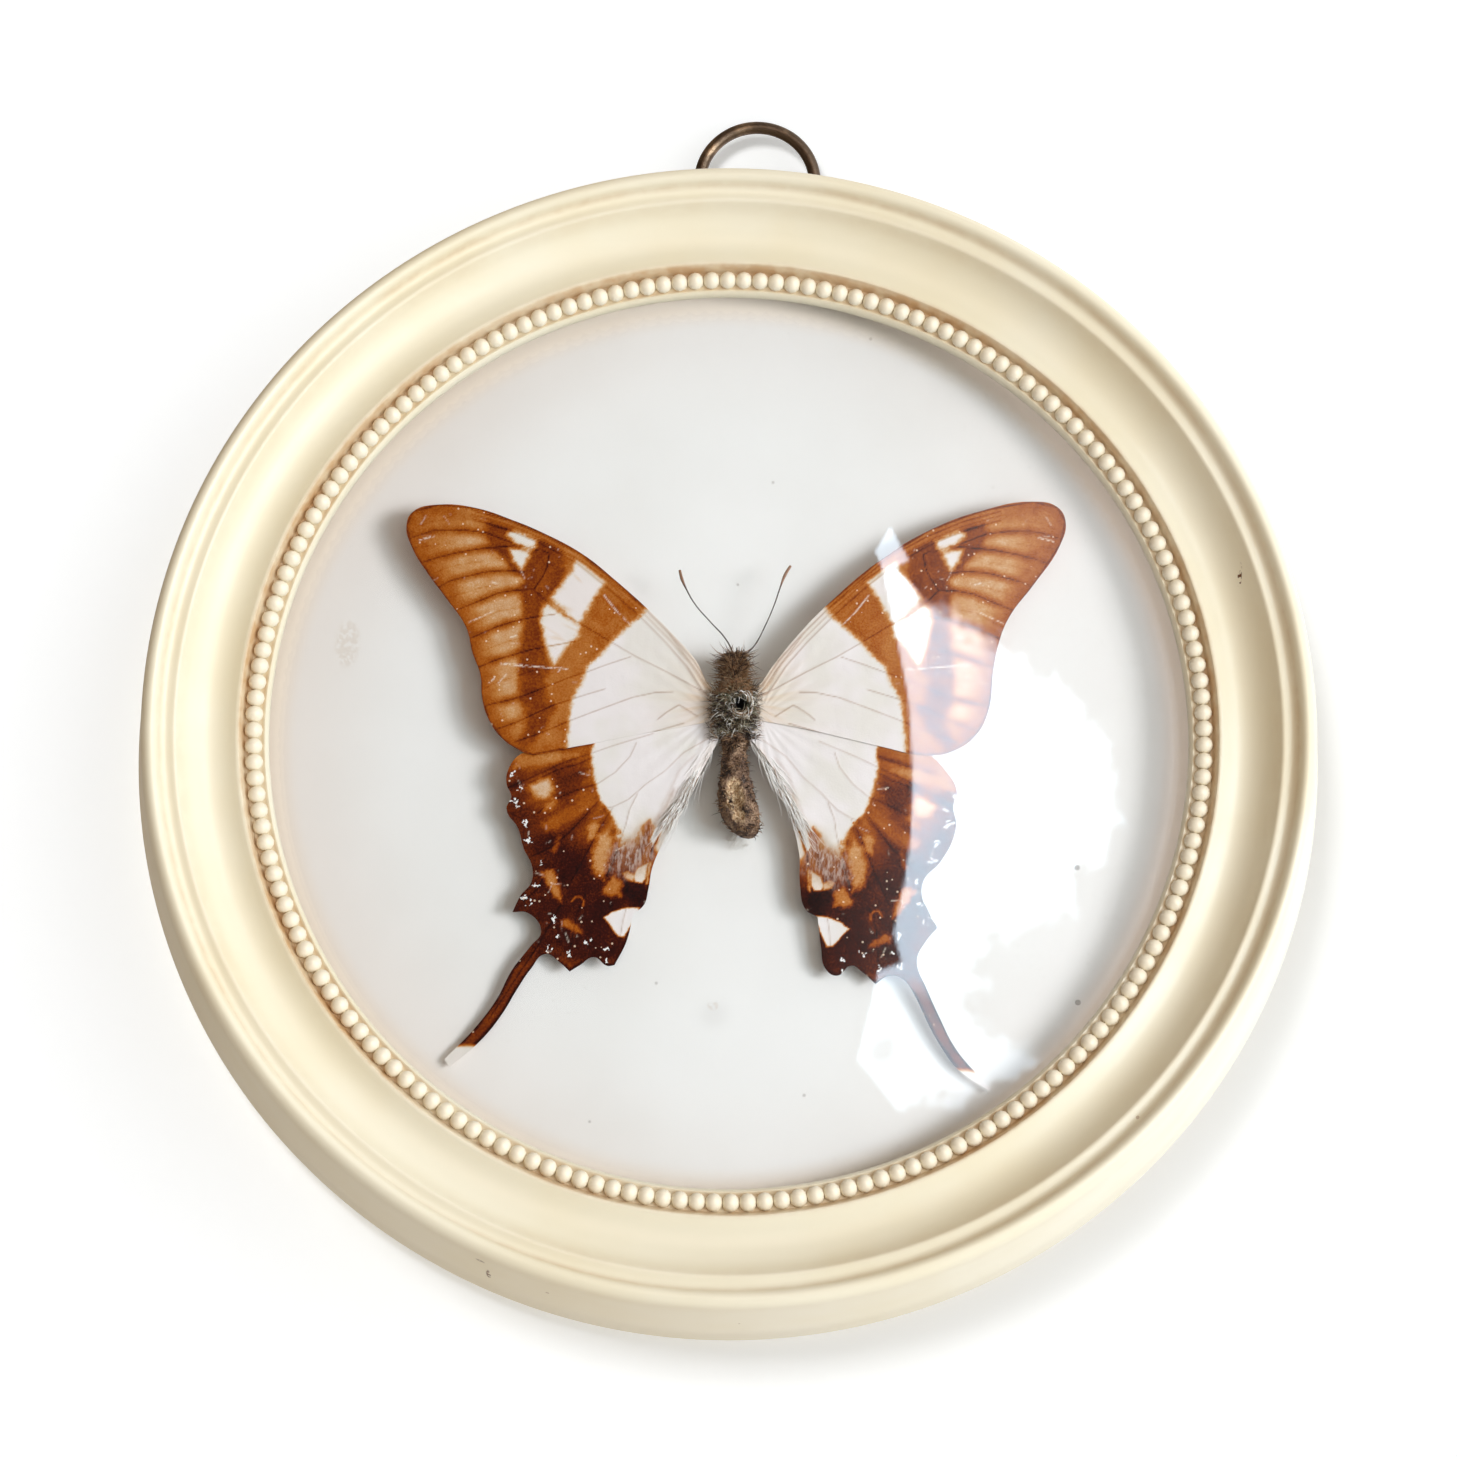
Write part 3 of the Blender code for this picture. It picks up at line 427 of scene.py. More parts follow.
def new_group(name, inputs, outputs):
    """An empty node group with named float, vector or colour sockets."""
    group = bpy.data.node_groups.new(name, "ShaderNodeTree")
    for label, kind in inputs:
        group.interface.new_socket(name=label, in_out="INPUT", socket_type=kind)
    for label, kind in outputs:
        group.interface.new_socket(name=label, in_out="OUTPUT", socket_type=kind)
    entry = group.nodes.new("NodeGroupInput")
    leave = group.nodes.new("NodeGroupOutput")
    return group, entry.outputs, leave


def specks_group():
    """Small scattered specks: a mask that is 1 inside each speck."""
    name = "Specks"
    if name in bpy.data.node_groups:
        return bpy.data.node_groups[name]
    group, given, leave = new_group(
        name, [("Vector", "NodeSocketVector"), ("Scale", "NodeSocketFloat"), ("Size", "NodeSocketFloat"),
               ("Share", "NodeSocketFloat")], [("Mask", "NodeSocketFloat")])
    cells = add(group, "ShaderNodeTexVoronoi", {"Vector": given["Vector"], "Scale": given["Scale"]})
    near = maths(group, "LESS_THAN", cells.outputs["Distance"], given["Size"])
    pick = add(group, "ShaderNodeSeparateColor", {0: cells.outputs["Color"]})
    chosen = maths(group, "LESS_THAN", pick.outputs[0], given["Share"])
    group.links.new(maths(group, "MULTIPLY", near, chosen), leave.inputs["Mask"])
    return group


def specks(tree, vector, scale, size, share):
    inputs = {"Vector": vector, "Scale": scale, "Size": size, "Share": share}
    return add(tree, "ShaderNodeGroup", inputs, node_tree=specks_group()).outputs["Mask"]


def mottle_group():
    """Uneven shade: broad clouds and fine grain, both around one half."""
    name = "Mottle"
    if name in bpy.data.node_groups:
        return bpy.data.node_groups[name]
    group, given, leave = new_group(
        name, [("Vector", "NodeSocketVector"), ("Broad", "NodeSocketFloat"), ("Fine", "NodeSocketFloat")],
        [("Clouds", "NodeSocketFloat"), ("Grain", "NodeSocketFloat")])
    group.links.new(noise_value(group, given["Vector"], given["Broad"], 3.0), leave.inputs["Clouds"])
    group.links.new(noise_value(group, given["Vector"], given["Fine"], 1.0, 0.6), leave.inputs["Grain"])
    return group


def mottle(tree, vector, broad, fine):
    inputs = {"Vector": vector, "Broad": broad, "Fine": fine}
    node = add(tree, "ShaderNodeGroup", inputs, node_tree=mottle_group())
    return node.outputs["Clouds"], node.outputs["Grain"]


def new_material(name, roughness=0.5, metallic=0.0):
    """A material with its Principled shader and its object coordinates."""
    mat = bpy.data.materials.new(name)
    mat.use_nodes = True
    tree = mat.node_tree
    shader = tree.nodes["Principled BSDF"]
    shader.inputs["Roughness"].default_value = roughness
    shader.inputs["Metallic"].default_value = metallic
    place = add(tree, "ShaderNodeTexCoord").outputs["Object"]
    return mat, tree, shader, place


def wire(tree, shader, **sockets):
    """Link values to the shader's sockets, named with _ for a space."""
    for key, value in sockets.items():
        tree.links.new(value, shader.inputs[key.replace("_", " ")])


# Materials


def marks(tree, place, spots):
    """Small ragged marks, each with its place and half sizes in metres."""
    total = 0.0
    for centre, size in spots:
        away = add(tree, "ShaderNodeVectorMath", {0: place, 1: centre}, operation="SUBTRACT").outputs["Vector"]
        away = add(tree, "ShaderNodeVectorMath", {0: away, 1: size}, operation="DIVIDE").outputs["Vector"]
        reach = add(tree, "ShaderNodeVectorMath", {0: away}, operation="LENGTH").outputs["Value"]
        total = maths(tree, "MAXIMUM", spread(tree, reach, 1.0, 0.6), total)
    return maths(tree, "MULTIPLY", total, spread(tree, noise_value(tree, place, 1500.0), 0.42, 0.52))


def ivory_plastic(colours):
    """Cream plastic with a soft shine, with soiling and painted shade in its creases."""
    mat, tree, shader, place = new_material("ivory_plastic", 0.36)
    clouds, grain = mottle(tree, place, 38.0, 900.0)
    clean = mixed(tree, spread(tree, clouds, 0.35, 0.7, 0.0, 0.55), colours.ivory, srgb(232, 220, 186))
    clean = mixed(tree, maths(tree, "MULTIPLY", attribute(tree, "aged"), 0.8), clean, srgb(242, 206, 152))
    # Painted shade in the creases, mixed with soiling and broken up by noise
    soiling_and_shade = maths(tree, "MULTIPLY", attribute(tree, "crease"), spread(tree, clouds, 0.25, 0.7, 0.45, 1.0))
    streaks = noise_value(tree, place, 420.0)
    soiling_and_shade = maths(tree, "MULTIPLY", soiling_and_shade, spread(tree, streaks, 0.3, 0.65, 0.55, 1.0))
    colour = mixed(tree, maths(tree, "MULTIPLY", soiling_and_shade, 0.85), clean, colours.grime_and_shade)
    dots = specks(tree, place, 210.0, 0.055, 0.1)
    colour = mixed(tree, maths(tree, "MULTIPLY", dots, 0.55), colour, srgb(150, 110, 70))
    colour = mixed(tree, marks(tree, place, PLASTIC_MARKS), colour, srgb(104, 66, 42))
    wire(tree, shader, Base_Color=colour,
         Roughness=maths(tree, "ADD", spread(tree, clouds, 0.3, 0.7, 0.3, 0.4), maths(tree, "MULTIPLY", soiling_and_shade, 0.25)))
    return mat


def clear_glass():
    """Glass that light passes straight through to the card, so that it stays bright."""
    mat, tree, shader, place = new_material("clear_glass", 0.0)
    shader.inputs["Base Color"].default_value = (0.985, 0.995, 0.99, 1.0)
    shader.inputs["Transmission Weight"].default_value = 1.0
    shader.inputs["IOR"].default_value = 1.5
    open_way = add(tree, "ShaderNodeBsdfTransparent", {"Color": (0.985, 0.99, 0.985, 1.0)})
    rays = add(tree, "ShaderNodeLightPath")
    both = add(tree, "ShaderNodeMixShader",
               {0: rays.outputs["Is Shadow Ray"], 1: shader.outputs[0], 2: open_way.outputs[0]})
    tree.links.new(both.outputs[0], tree.nodes["Material Output"].inputs["Surface"])
    return mat


def white_card(colours):
    """Off-white card with paper fibres, dust and a few stains."""
    mat, tree, shader, place = new_material("white_card", 0.85)
    clouds, grain = mottle(tree, place, 26.0, 1500.0)
    colour = mixed(tree, spread(tree, clouds, 0.35, 0.75, 0.0, 0.5), colours.card, srgb(230, 228, 222))
    middle = add(tree, "ShaderNodeVectorMath", {0: stretched(tree, place, (1.0, 0.0, 1.0))}, operation="LENGTH")
    edge = spread(tree, middle.outputs["Value"], 0.038, 0.06)
    side = add(tree, "ShaderNodeSeparateXYZ", {0: place})
    left = spread(tree, side.outputs["X"], 0.01, -0.055)
    warm = maths(tree, "MULTIPLY", edge, maths(tree, "ADD", maths(tree, "MULTIPLY", left, 0.3), 0.2))
    colour = mixed(tree, warm, colour, srgb(228, 210, 196))
    colour = mixed(tree, spread(tree, grain, 0.6, 0.8, 0.0, 0.12), colour, srgb(190, 184, 172))
    dust = specks(tree, place, 260.0, 0.06, 0.16)
    colour = mixed(tree, maths(tree, "MULTIPLY", dust, 0.32), colour, srgb(120, 105, 90))
    crumbs = specks(tree, stretched(tree, place, (1.0, 1.0, 1.0), (0.31, 0.0, 0.17)), 110.0, 0.04, 0.1)
    colour = mixed(tree, maths(tree, "MULTIPLY", crumbs, 0.6), colour, srgb(96, 78, 62))
    # Light that the ivory rim throws back warms the edge under it
    rim_glow = spread(tree, middle.outputs["Value"], 0.0545, 0.0578, 0.0, 0.3)
    colour = mixed(tree, rim_glow, colour, srgb(232, 196, 146))
    # A faint grey smudge below the body
    smudge = add(tree, "ShaderNodeVectorMath", {0: place, 1: (-0.0001, -CARD_TOP * MM, -0.0357)},
                 operation="DISTANCE")
    blot = maths(tree, "MULTIPLY", spread(tree, smudge.outputs["Value"], 0.0028, 0.0004), clouds)
    colour = mixed(tree, maths(tree, "MULTIPLY", blot, 0.32), colour, srgb(176, 172, 168))
    stain = maths(tree, "MULTIPLY", marks(tree, place, CARD_MARKS), 0.22)
    colour = mixed(tree, stain, colour, srgb(196, 172, 140))
    wire(tree, shader, Base_Color=colour)
    return mat


def brown_board(colours):
    """Pressed board, rough and fibrous."""
    mat, tree, shader, place = new_material("brown_board", 0.9)
    clouds, grain = mottle(tree, place, 45.0, 1300.0)
    fibres = noise_value(tree, stretched(tree, place, (1.0, 1.0, 6.0)), 700.0, 4.0, 0.65)
    colour = mixed(tree, spread(tree, clouds, 0.3, 0.7), colours.board, srgb(118, 92, 64))
    colour = mixed(tree, spread(tree, fibres, 0.45, 0.8, 0.0, 0.5), colour, srgb(186, 160, 122))
    colour = mixed(tree, maths(tree, "MULTIPLY", specks(tree, place, 420.0, 0.12, 0.3), 0.5), colour,
                   srgb(74, 54, 38))
    wire(tree, shader, Base_Color=colour, Normal=bumped(tree, maths(tree, "ADD", grain, fibres), 0.0001, 0.6))
    return mat


def aged_metal(name, colour, worn, roughness):
    """Metal with a dull skin, rubbed brighter in places."""
    mat, tree, shader, place = new_material(name, roughness, 1.0)
    clouds, grain = mottle(tree, place, 260.0, 2600.0)
    rubbed = spread(tree, clouds, 0.5, 0.72)
    base = mixed(tree, rubbed, colour, worn)
    base = mixed(tree, spread(tree, grain, 0.55, 0.8, 0.0, 0.5), base, tuple(level * 0.45 for level in colour))
    wire(tree, shader, Base_Color=base,
         Roughness=maths(tree, "SUBTRACT", spread(tree, grain, 0.3, 0.7, roughness, roughness + 0.2),
                         maths(tree, "MULTIPLY", rubbed, 0.1)),
         Normal=bumped(tree, grain, 0.00004, 0.4))
    return mat


WING_TONES = [
    (0.0, srgb(240, 234, 232)), (0.14, srgb(228, 208, 186)), (0.32, srgb(206, 154, 100)),
    (0.46, srgb(188, 120, 56)), (0.6, srgb(164, 84, 14)), (0.74, srgb(118, 48, 8)), (0.87, srgb(58, 14, 5)),
    (1.0, srgb(22, 6, 5)),
]


def wing_scales():
    """Wing scales: white through tan and brown to near black, with rubbed specks and silver marks."""
    mat, tree, shader, place = new_material("wing_scales", 0.62)
    clouds, grain = mottle(tree, place, 420.0, 4200.0)
    tone = attribute(tree, "tone")
    unclean = spread(tree, tone, 0.1, 0.4)
    drift = maths(tree, "MULTIPLY", maths(tree, "SUBTRACT", clouds, 0.5), 0.2)
    speckle = maths(tree, "MULTIPLY", maths(tree, "SUBTRACT", grain, 0.5), 0.26)
    shift = maths(tree, "MULTIPLY", maths(tree, "ADD", drift, speckle), unclean)
    colour = ramp(tree, maths(tree, "ADD", tone, shift, clamp=True), WING_TONES)
    creamy = spread(tree, noise_value(tree, place, 160.0), 0.4, 0.65, 0.0, 0.5)
    colour = mixed(tree, maths(tree, "MULTIPLY", maths(tree, "SUBTRACT", 1.0, unclean), creamy), colour,
                   srgb(226, 222, 208))
    lines = maths(tree, "MULTIPLY", attribute(tree, "vein"), maths(tree, "SUBTRACT", 1.0, unclean))
    colour = mixed(tree, maths(tree, "MULTIPLY", lines, 0.62), colour, srgb(158, 116, 80))
    strands = spread(tree, noise_value(tree, stretched(tree, place, (3.0, 1.0, 1.0)), 1100.0), 0.35, 0.65)
    streaked = maths(tree, "ADD", maths(tree, "MULTIPLY", strands, 0.35), 0.45)
    veiled = maths(tree, "MULTIPLY", attribute(tree, "haze"), streaked)
    colour = mixed(tree, veiled, colour, mixed(tree, strands, srgb(112, 84, 70), srgb(192, 174, 162)))
    silver = attribute(tree, "silver")
    broken = maths(tree, "MULTIPLY", maths(tree, "SUBTRACT", noise_value(tree, place, 2800.0, 3.0, 0.7), 0.5), 2.4)
    flecks = spread(tree, maths(tree, "ADD", silver, broken), 0.62, 0.72)
    flecks = maths(tree, "MULTIPLY", flecks, spread(tree, silver, 0.02, 0.1))
    colour = mixed(tree, flecks, colour, srgb(244, 244, 242))
    rubs = maths(tree, "MULTIPLY", attribute(tree, "rubbed"),
                 spread(tree, noise_value(tree, place, 2600.0, 2.0), 0.35, 0.55))
    colour = mixed(tree, rubs, colour, srgb(240, 226, 208))
    lost = maths(tree, "MULTIPLY", specks(tree, place, 1500.0, 0.2, 0.13), unclean)
    colour = mixed(tree, maths(tree, "MULTIPLY", lost, 0.75), colour, srgb(240, 214, 184))
    wire(tree, shader, Base_Color=colour,
         Normal=bumped(tree, grain, 0.00005, 0.4))
    shader.inputs["Specular IOR Level"].default_value = 0.08
    # Some light passes the thin wings, which warms their shadow on the card
    passed = add(tree, "ShaderNodeBsdfTransparent", {"Color": colour})
    rays = add(tree, "ShaderNodeLightPath")
    share = maths(tree, "MULTIPLY", rays.outputs["Is Shadow Ray"], 0.3)
    both = add(tree, "ShaderNodeMixShader", {0: share, 1: shader.outputs[0], 2: passed.outputs[0]})
    tree.links.new(both.outputs[0], tree.nodes["Material Output"].inputs["Surface"])
    return mat


def insect_body():
    """Body skin: dark brown with greenish grey on the thorax and cream where the abdomen is open."""
    mat, tree, shader, place = new_material("insect_body", 0.8)
    clouds, grain = mottle(tree, place, 650.0, 3800.0)
    colour = ramp(tree, maths(tree, "ADD", clouds, maths(tree, "MULTIPLY", maths(tree, "SUBTRACT", grain, 0.5), 0.5)),
                  [(0.32, srgb(48, 34, 26)), (0.48, srgb(112, 84, 64)), (0.68, srgb(172, 142, 114))])
    grey = ramp(tree, clouds, [(0.34, srgb(34, 32, 24)), (0.5, srgb(92, 92, 72)), (0.7, srgb(182, 180, 156))])
    colour = mixed(tree, attribute(tree, "thorax"), colour, grey)
    collar = maths(tree, "MULTIPLY", attribute(tree, "collar"), spread(tree, clouds, 0.3, 0.5))
    colour = mixed(tree, collar, colour, srgb(150, 112, 78))
    cream = maths(tree, "MULTIPLY", attribute(tree, "open"), spread(tree, clouds, 0.3, 0.48))
    inner = ramp(tree, grain, [(0.35, srgb(150, 112, 78)), (0.5, srgb(206, 172, 132)), (0.68, srgb(232, 208, 172))])
    colour = mixed(tree, cream, colour, inner)
    # Painted shade: the pin's hole is painted near black
    colour = mixed(tree, attribute(tree, "hollow"), colour, srgb(8, 6, 5))
    wire(tree, shader, Base_Color=colour,
         Normal=bumped(tree, maths(tree, "ADD", clouds, grain), 0.0004, 0.9))
    return mat


def insect_hair():
    """Hair from near black through tan to white, by each hair's own shade."""
    mat, tree, shader, place = new_material("insect_hair", 0.55)
    colour = ramp(tree, attribute(tree, "shade"),
                  [(0.0, srgb(34, 24, 20)), (0.3, srgb(88, 64, 46)), (0.5, srgb(166, 128, 92)),
                   (0.68, srgb(138, 132, 108)), (0.85, srgb(222, 212, 192)), (1.0, srgb(252, 250, 246))])
    wire(tree, shader, Base_Color=colour)
    return mat


def antenna_horn():
    """Dark horn, paler on the clubs."""
    mat, tree, shader, place = new_material("antenna_horn", 0.45)
    clouds, grain = mottle(tree, place, 900.0, 4000.0)
    colour = mixed(tree, spread(tree, clouds, 0.35, 0.65), srgb(54, 44, 38), srgb(84, 68, 56))
    colour = mixed(tree, attribute(tree, "club"), colour, srgb(146, 108, 82))
    wire(tree, shader, Base_Color=colour, Normal=bumped(tree, grain, 0.00004, 0.5))
    return mat


# Modelling helpers


def deselect():
    if bpy.context.object and bpy.context.object.mode != "OBJECT":
        bpy.ops.object.mode_set(mode="OBJECT")
    bpy.ops.object.select_all(action="DESELECT")


def make_active(item):
    deselect()
    bpy.context.view_layer.objects.active = item
    item.select_set(True)


def start_piece(name):
    """Name the primitive that was just added."""
    item = bpy.context.object
    item.name = name
    item.data.name = name
    return item


def draw_chain(name, points, cyclic=False):
    """Draw a chain of edges by extruding one point from place to place; points are in millimetres."""
    places = [Vector(point) * MM for point in points]
    deselect()
    bpy.ops.mesh.primitive_plane_add(size=0.1 * MM, location=places[0])
    item = start_piece(name)
    bpy.ops.object.transform_apply(location=True, rotation=False, scale=False)
    bpy.ops.object.mode_set(mode="EDIT")
    bpy.ops.mesh.select_all(action="SELECT")
    bpy.ops.mesh.merge(type="CENTER")
    for before, after in zip(places, places[1:]):
        bpy.ops.mesh.extrude_vertices_move(TRANSFORM_OT_translate={"value": after - before})
    bpy.ops.mesh.select_all(action="SELECT")
    if cyclic:
        bpy.ops.mesh.edge_face_add()
    bpy.ops.object.mode_set(mode="OBJECT")
    return item


def weld(item, distance=0.004):
    """Merge doubles and turn every face outwards."""
    make_active(item)
    bpy.ops.object.mode_set(mode="EDIT")
    bpy.ops.mesh.select_all(action="SELECT")
    bpy.ops.mesh.remove_doubles(threshold=distance * MM)
    bpy.ops.mesh.normals_make_consistent(inside=False)
    bpy.ops.object.mode_set(mode="OBJECT")
    return item


def turn_on_lathe(name, profile, steps, centre=(0.0, 0.0, 0.0), axis=(0.0, 0.0, 1.0), angle=math.tau):
    """Spin a profile, given as points in millimetres, about an axis."""
    item = draw_chain(name, profile)
    bpy.ops.object.mode_set(mode="EDIT")
    bpy.ops.mesh.select_all(action="SELECT")
    bpy.ops.mesh.spin(steps=steps, angle=angle, center=Vector(centre) * MM, axis=axis)
    bpy.ops.object.mode_set(mode="OBJECT")
    return weld(item)


def section(points):
    """Radius and height pairs as points in the lathe's plane."""
    return [(radius, 0.0, height) for radius, height in points]


def points_of(item):
    """The mesh's points in millimetres, as an array."""
    flat = np.empty(len(item.data.vertices) * 3)
    item.data.vertices.foreach_get("co", flat)
    return flat.reshape(-1, 3) / MM


def move_points(item, places):
    item.data.vertices.foreach_set("co", (np.asarray(places) * MM).ravel())
    item.data.update()


def paint(item, name, values):
    """Keep one number for each point of the mesh, for its material to read."""
    layer = item.data.attributes.get(name) or item.data.attributes.new(name, "FLOAT", "POINT")
    layer.data.foreach_set("value", np.asarray(values, dtype=np.float32))


def apply_modifier(item, kind, **settings):
    """Put a modifier on the active piece and apply it."""
    modifier = item.modifiers.new(kind.title(), kind)
    for key, value in settings.items():
        setattr(modifier, key, value)
    bpy.ops.object.modifier_apply(modifier=modifier.name)


def shade(item, degrees=40.0):
    make_active(item)
    bpy.ops.object.shade_smooth_by_angle(angle=math.radians(degrees))


def finish_piece(item, mat, body, stands=UPRIGHT, replaces=()):
    """Stand a piece up, fix that in its mesh, dress it, and let it ride on its body."""
    make_active(item)
    item.matrix_world = stands
    bpy.ops.object.transform_apply(location=True, rotation=True, scale=True)
    item.data.materials.clear()
    item.data.materials.append(mat)
    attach(item, body)
    if replaces:
        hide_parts(*replaces)
    return item


def copies_of(model, name, spots):
    """Many copies of a model's mesh in one piece; each spot is an array of the moved points."""
    count = len(model.data.vertices)
    faces = [tuple(face.vertices) for face in model.data.polygons]
    mesh = bpy.data.meshes.new(name)
    points = np.concatenate(spots)
    all_faces = [tuple(number + index * count for number in face) for index in range(len(spots)) for face in faces]
    mesh.from_pydata((points * MM).tolist(), [], all_faces)
    item = bpy.data.objects.new(name, mesh)
    bpy.context.scene.collection.objects.link(item)
    bpy.data.objects.remove(model, do_unlink=True)
    return item


# Frame


def crease_soiling_and_shade(points):
    """How much painted shade and soiling each point gets in the creases, by its distance from the middle."""
    radius = np.hypot(points[:, 0], points[:, 1])
    total = np.zeros(len(points))
    for place, width, amount in CREASE_SOILING_AND_SHADE:
        total += amount * line_mask(radius - place, width)
    return np.clip(total, 0.0, 1.0) * (points[:, 2] > REAR_OF_MOULDING)


class SPECIMEN_OT_moulding(Operator):
    """Spin the moulding's section into the round frame"""

    bl_idname = "specimen.moulding"
    bl_label = "Moulding"

    def execute(self, context):
        frame_piece = turn_on_lathe("rim_moulding", section(MOULDING + MOULDING[:1]), MOULDING_STEPS)
        points = points_of(frame_piece)
        paint(frame_piece, "crease", crease_soiling_and_shade(points))
        shade(frame_piece, 35.0)
        mat = ivory_plastic(context.scene.specimen_colours)
        finish_piece(frame_piece, mat, "case", replaces=["moulded_frame"])
        return {"FINISHED"}


class SPECIMEN_OT_beads(Operator):
    """Set the row of beads in the channel"""

    bl_idname = "specimen.beads"
    bl_label = "Beads"

    def execute(self, context):
        sizes = context.scene.specimen_sizes
        deselect()
        bpy.ops.mesh.primitive_uv_sphere_add(segments=12, ring_count=8, radius=sizes.bead_radius,
                                             location=(0.0, 0.0, 0.0))
        bead = start_piece("bead")
        bpy.ops.object.mode_set(mode="EDIT")
        bpy.ops.mesh.select_all(action="SELECT")
        bpy.ops.mesh.bisect(plane_co=(0.0, 0.0, -0.62 * MM), plane_no=(0.0, 0.0, 1.0), use_fill=True,
                            clear_inner=True)
        bpy.ops.object.mode_set(mode="OBJECT")
        shape = points_of(bead)
        dice = random.Random(11)
        spots = []
        for index in range(sizes.bead_count):
            angle = math.tau * (index + 0.5) / sizes.bead_count
            size = dice.uniform(0.975, 1.0)
            out = Vector((math.cos(angle), math.sin(angle), 0.0))
            along = Vector((-math.sin(angle), math.cos(angle), 0.0))
            centre = out * BEAD_CIRCLE_R + Vector((0.0, 0.0, BEAD_HEIGHT + dice.uniform(-0.04, 0.02)))
            turned = (shape[:, :1] * 1.04 * np.array(out) + shape[:, 1:2] * np.array(along)
                      + shape[:, 2:] * np.array((0.0, 0.0, 1.0)))
            spots.append(np.array(centre) + size * turned)
        row = copies_of(bead, "bead_row", spots)
        points = points_of(row)
        # The beads are painted darker toward their foot: painted shade where they sink into the channel, over a little
        # even soiling
        low = np.clip((BEAD_HEIGHT + 0.15 - points[:, 2]) / 0.5, 0.0, 1.0)
        paint(row, "crease", 0.16 + low * 0.5)
        paint(row, "aged", np.ones(len(points)))
        row.data.shade_smooth()
        finish_piece(row, bpy.data.materials["ivory_plastic"], "case")
        return {"FINISHED"}


class SPECIMEN_OT_glass(Operator):
    """Spin the domed glass"""

    bl_idname = "specimen.glass"
    bl_label = "Domed glass"

    def execute(self, context):
        thickness = context.scene.specimen_sizes.glass_thickness / MM
        ball = (DISC_R ** 2 + GLASS_RISE ** 2) / (2 * GLASS_RISE)
        rings = 30
        front, rear = [], []
        for index in range(rings + 1):
            radius = (DISC_R - 0.05) * index / rings
            height = GLASS_EDGE_HEIGHT + GLASS_RISE - ball + math.sqrt(ball ** 2 - radius ** 2)
            front.append((radius, height))
            rear.append((radius, height - thickness))
        glass = turn_on_lathe("glass_dome", section(front + rear[::-1]), 128)
        shade(glass, 40.0)
        finish_piece(glass, clear_glass(), "case", replaces=["convex_glass"])
        return {"FINISHED"}


class SPECIMEN_OT_backing(Operator):
    """Cut the card and the board behind it"""

    bl_idname = "specimen.backing"
    bl_label = "Card and board"

    def execute(self, context):
        colours = context.scene.specimen_colours
        rings = [DISC_R * index / 24 for index in range(1, 24)]
        top = [(0.0, CARD_TOP - 0.03)] + [(radius, CARD_TOP - 0.03) for radius in rings]
        rim = [(DISC_R - 0.12, CARD_TOP - 0.03), (DISC_R, CARD_TOP - 0.15), (DISC_R, CARD_TOP - 0.8),
               (DISC_R - 0.1, CARD_TOP - 0.9)]
        card = turn_on_lathe("card_disc", section(top + rim + [(0.0, CARD_TOP - 0.9)]), 120)
        points = points_of(card)
        for point in points:
            if point[2] > CARD_TOP - 0.1:
                point[2] += 0.025 * noise.noise(Vector(point) / 14.0)
        move_points(card, points)
        shade(card, 35.0)
        finish_piece(card, white_card(colours), "case", replaces=["backing_card"])
        edge = [(0.0, BOARD_TOP), (DISC_R - 0.15, BOARD_TOP), (DISC_R, BOARD_TOP - 0.15), (DISC_R, 0.35),
                (DISC_R - 0.12, 0.1), (DISC_R - 0.4, 0.0), (0.0, 0.0)]
        board = turn_on_lathe("pressed_board", section(edge), 120)
        shade(board, 35.0)
        finish_piece(board, brown_board(colours), "case", replaces=["back_board"])
        return {"FINISHED"}


class SPECIMEN_OT_hanger(Operator):
    """Fold the hanger strap and turn its nail"""

    bl_idname = "specimen.hanger"
    bl_label = "Strap and nail"

    def execute(self, context):
        colours = context.scene.specimen_colours
        middle, leaf = 1.25 + STRAP_LEAF, STRAP_LEAF
        path = [(0.0, STRAP_START, -0.3 - leaf), (0.0, HINGE_UP - 1.6, -0.3 - leaf), (0.0, HINGE_UP - 0.55, -0.55)]
        for index in range(19):
            angle = math.radians(98.0 - index * 213.0 / 18)
            path.append((0.0, HINGE_UP + middle * math.cos(angle), -HINGE_BACK + middle * math.sin(angle)))
        path += [(0.0, HINGE_UP - 2.2, -0.3 - 3 * leaf - 0.35), (0.0, HINGE_UP - 2.8, -0.3 - 3 * leaf),
                 (0.0, STRAP_START, -0.3 - 3 * leaf)]
        strap = draw_chain("folded_strap", path)
        bpy.ops.object.mode_set(mode="EDIT")
        bpy.ops.mesh.select_all(action="SELECT")
        bpy.ops.transform.translate(value=(-1.45 * MM, 0.0, 0.0))
        bpy.ops.mesh.extrude_edges_move(TRANSFORM_OT_translate={"value": (2.9 * MM, 0.0, 0.0)})
        bpy.ops.object.mode_set(mode="OBJECT")
        apply_modifier(strap, "SOLIDIFY", thickness=0.36 * MM, offset=0.0)
        apply_modifier(strap, "BEVEL", width=0.07 * MM, segments=2, limit_method="ANGLE")
        weld(strap)
        shade(strap, 40.0)
        steel = aged_metal("dull_steel", colours.steel, srgb(196, 192, 184), 0.4)
        finish_piece(strap, steel, "case", replaces=["hanger_strap"])
        head = [(0.0, -1.94), (0.35, -1.92), (0.7, -1.82), (0.95, -1.66), (1.08, -1.5), (1.1, -1.42), (1.05, -1.4),
                (0.48, -1.4), (0.48, 2.0), (0.0, 3.0)]
        nail = turn_on_lathe("round_nail", section(head), 32)
        shade(nail, 40.0)
        brass = aged_metal("nail_brass", colours.brass, srgb(214, 190, 130), 0.34)
        stands = UPRIGHT @ Matrix.Translation((0.0, NAIL_UP * MM, 0.0))
        finish_piece(nail, brass, "case", stands, ["hanger_nail"])
        return {"FINISHED"}


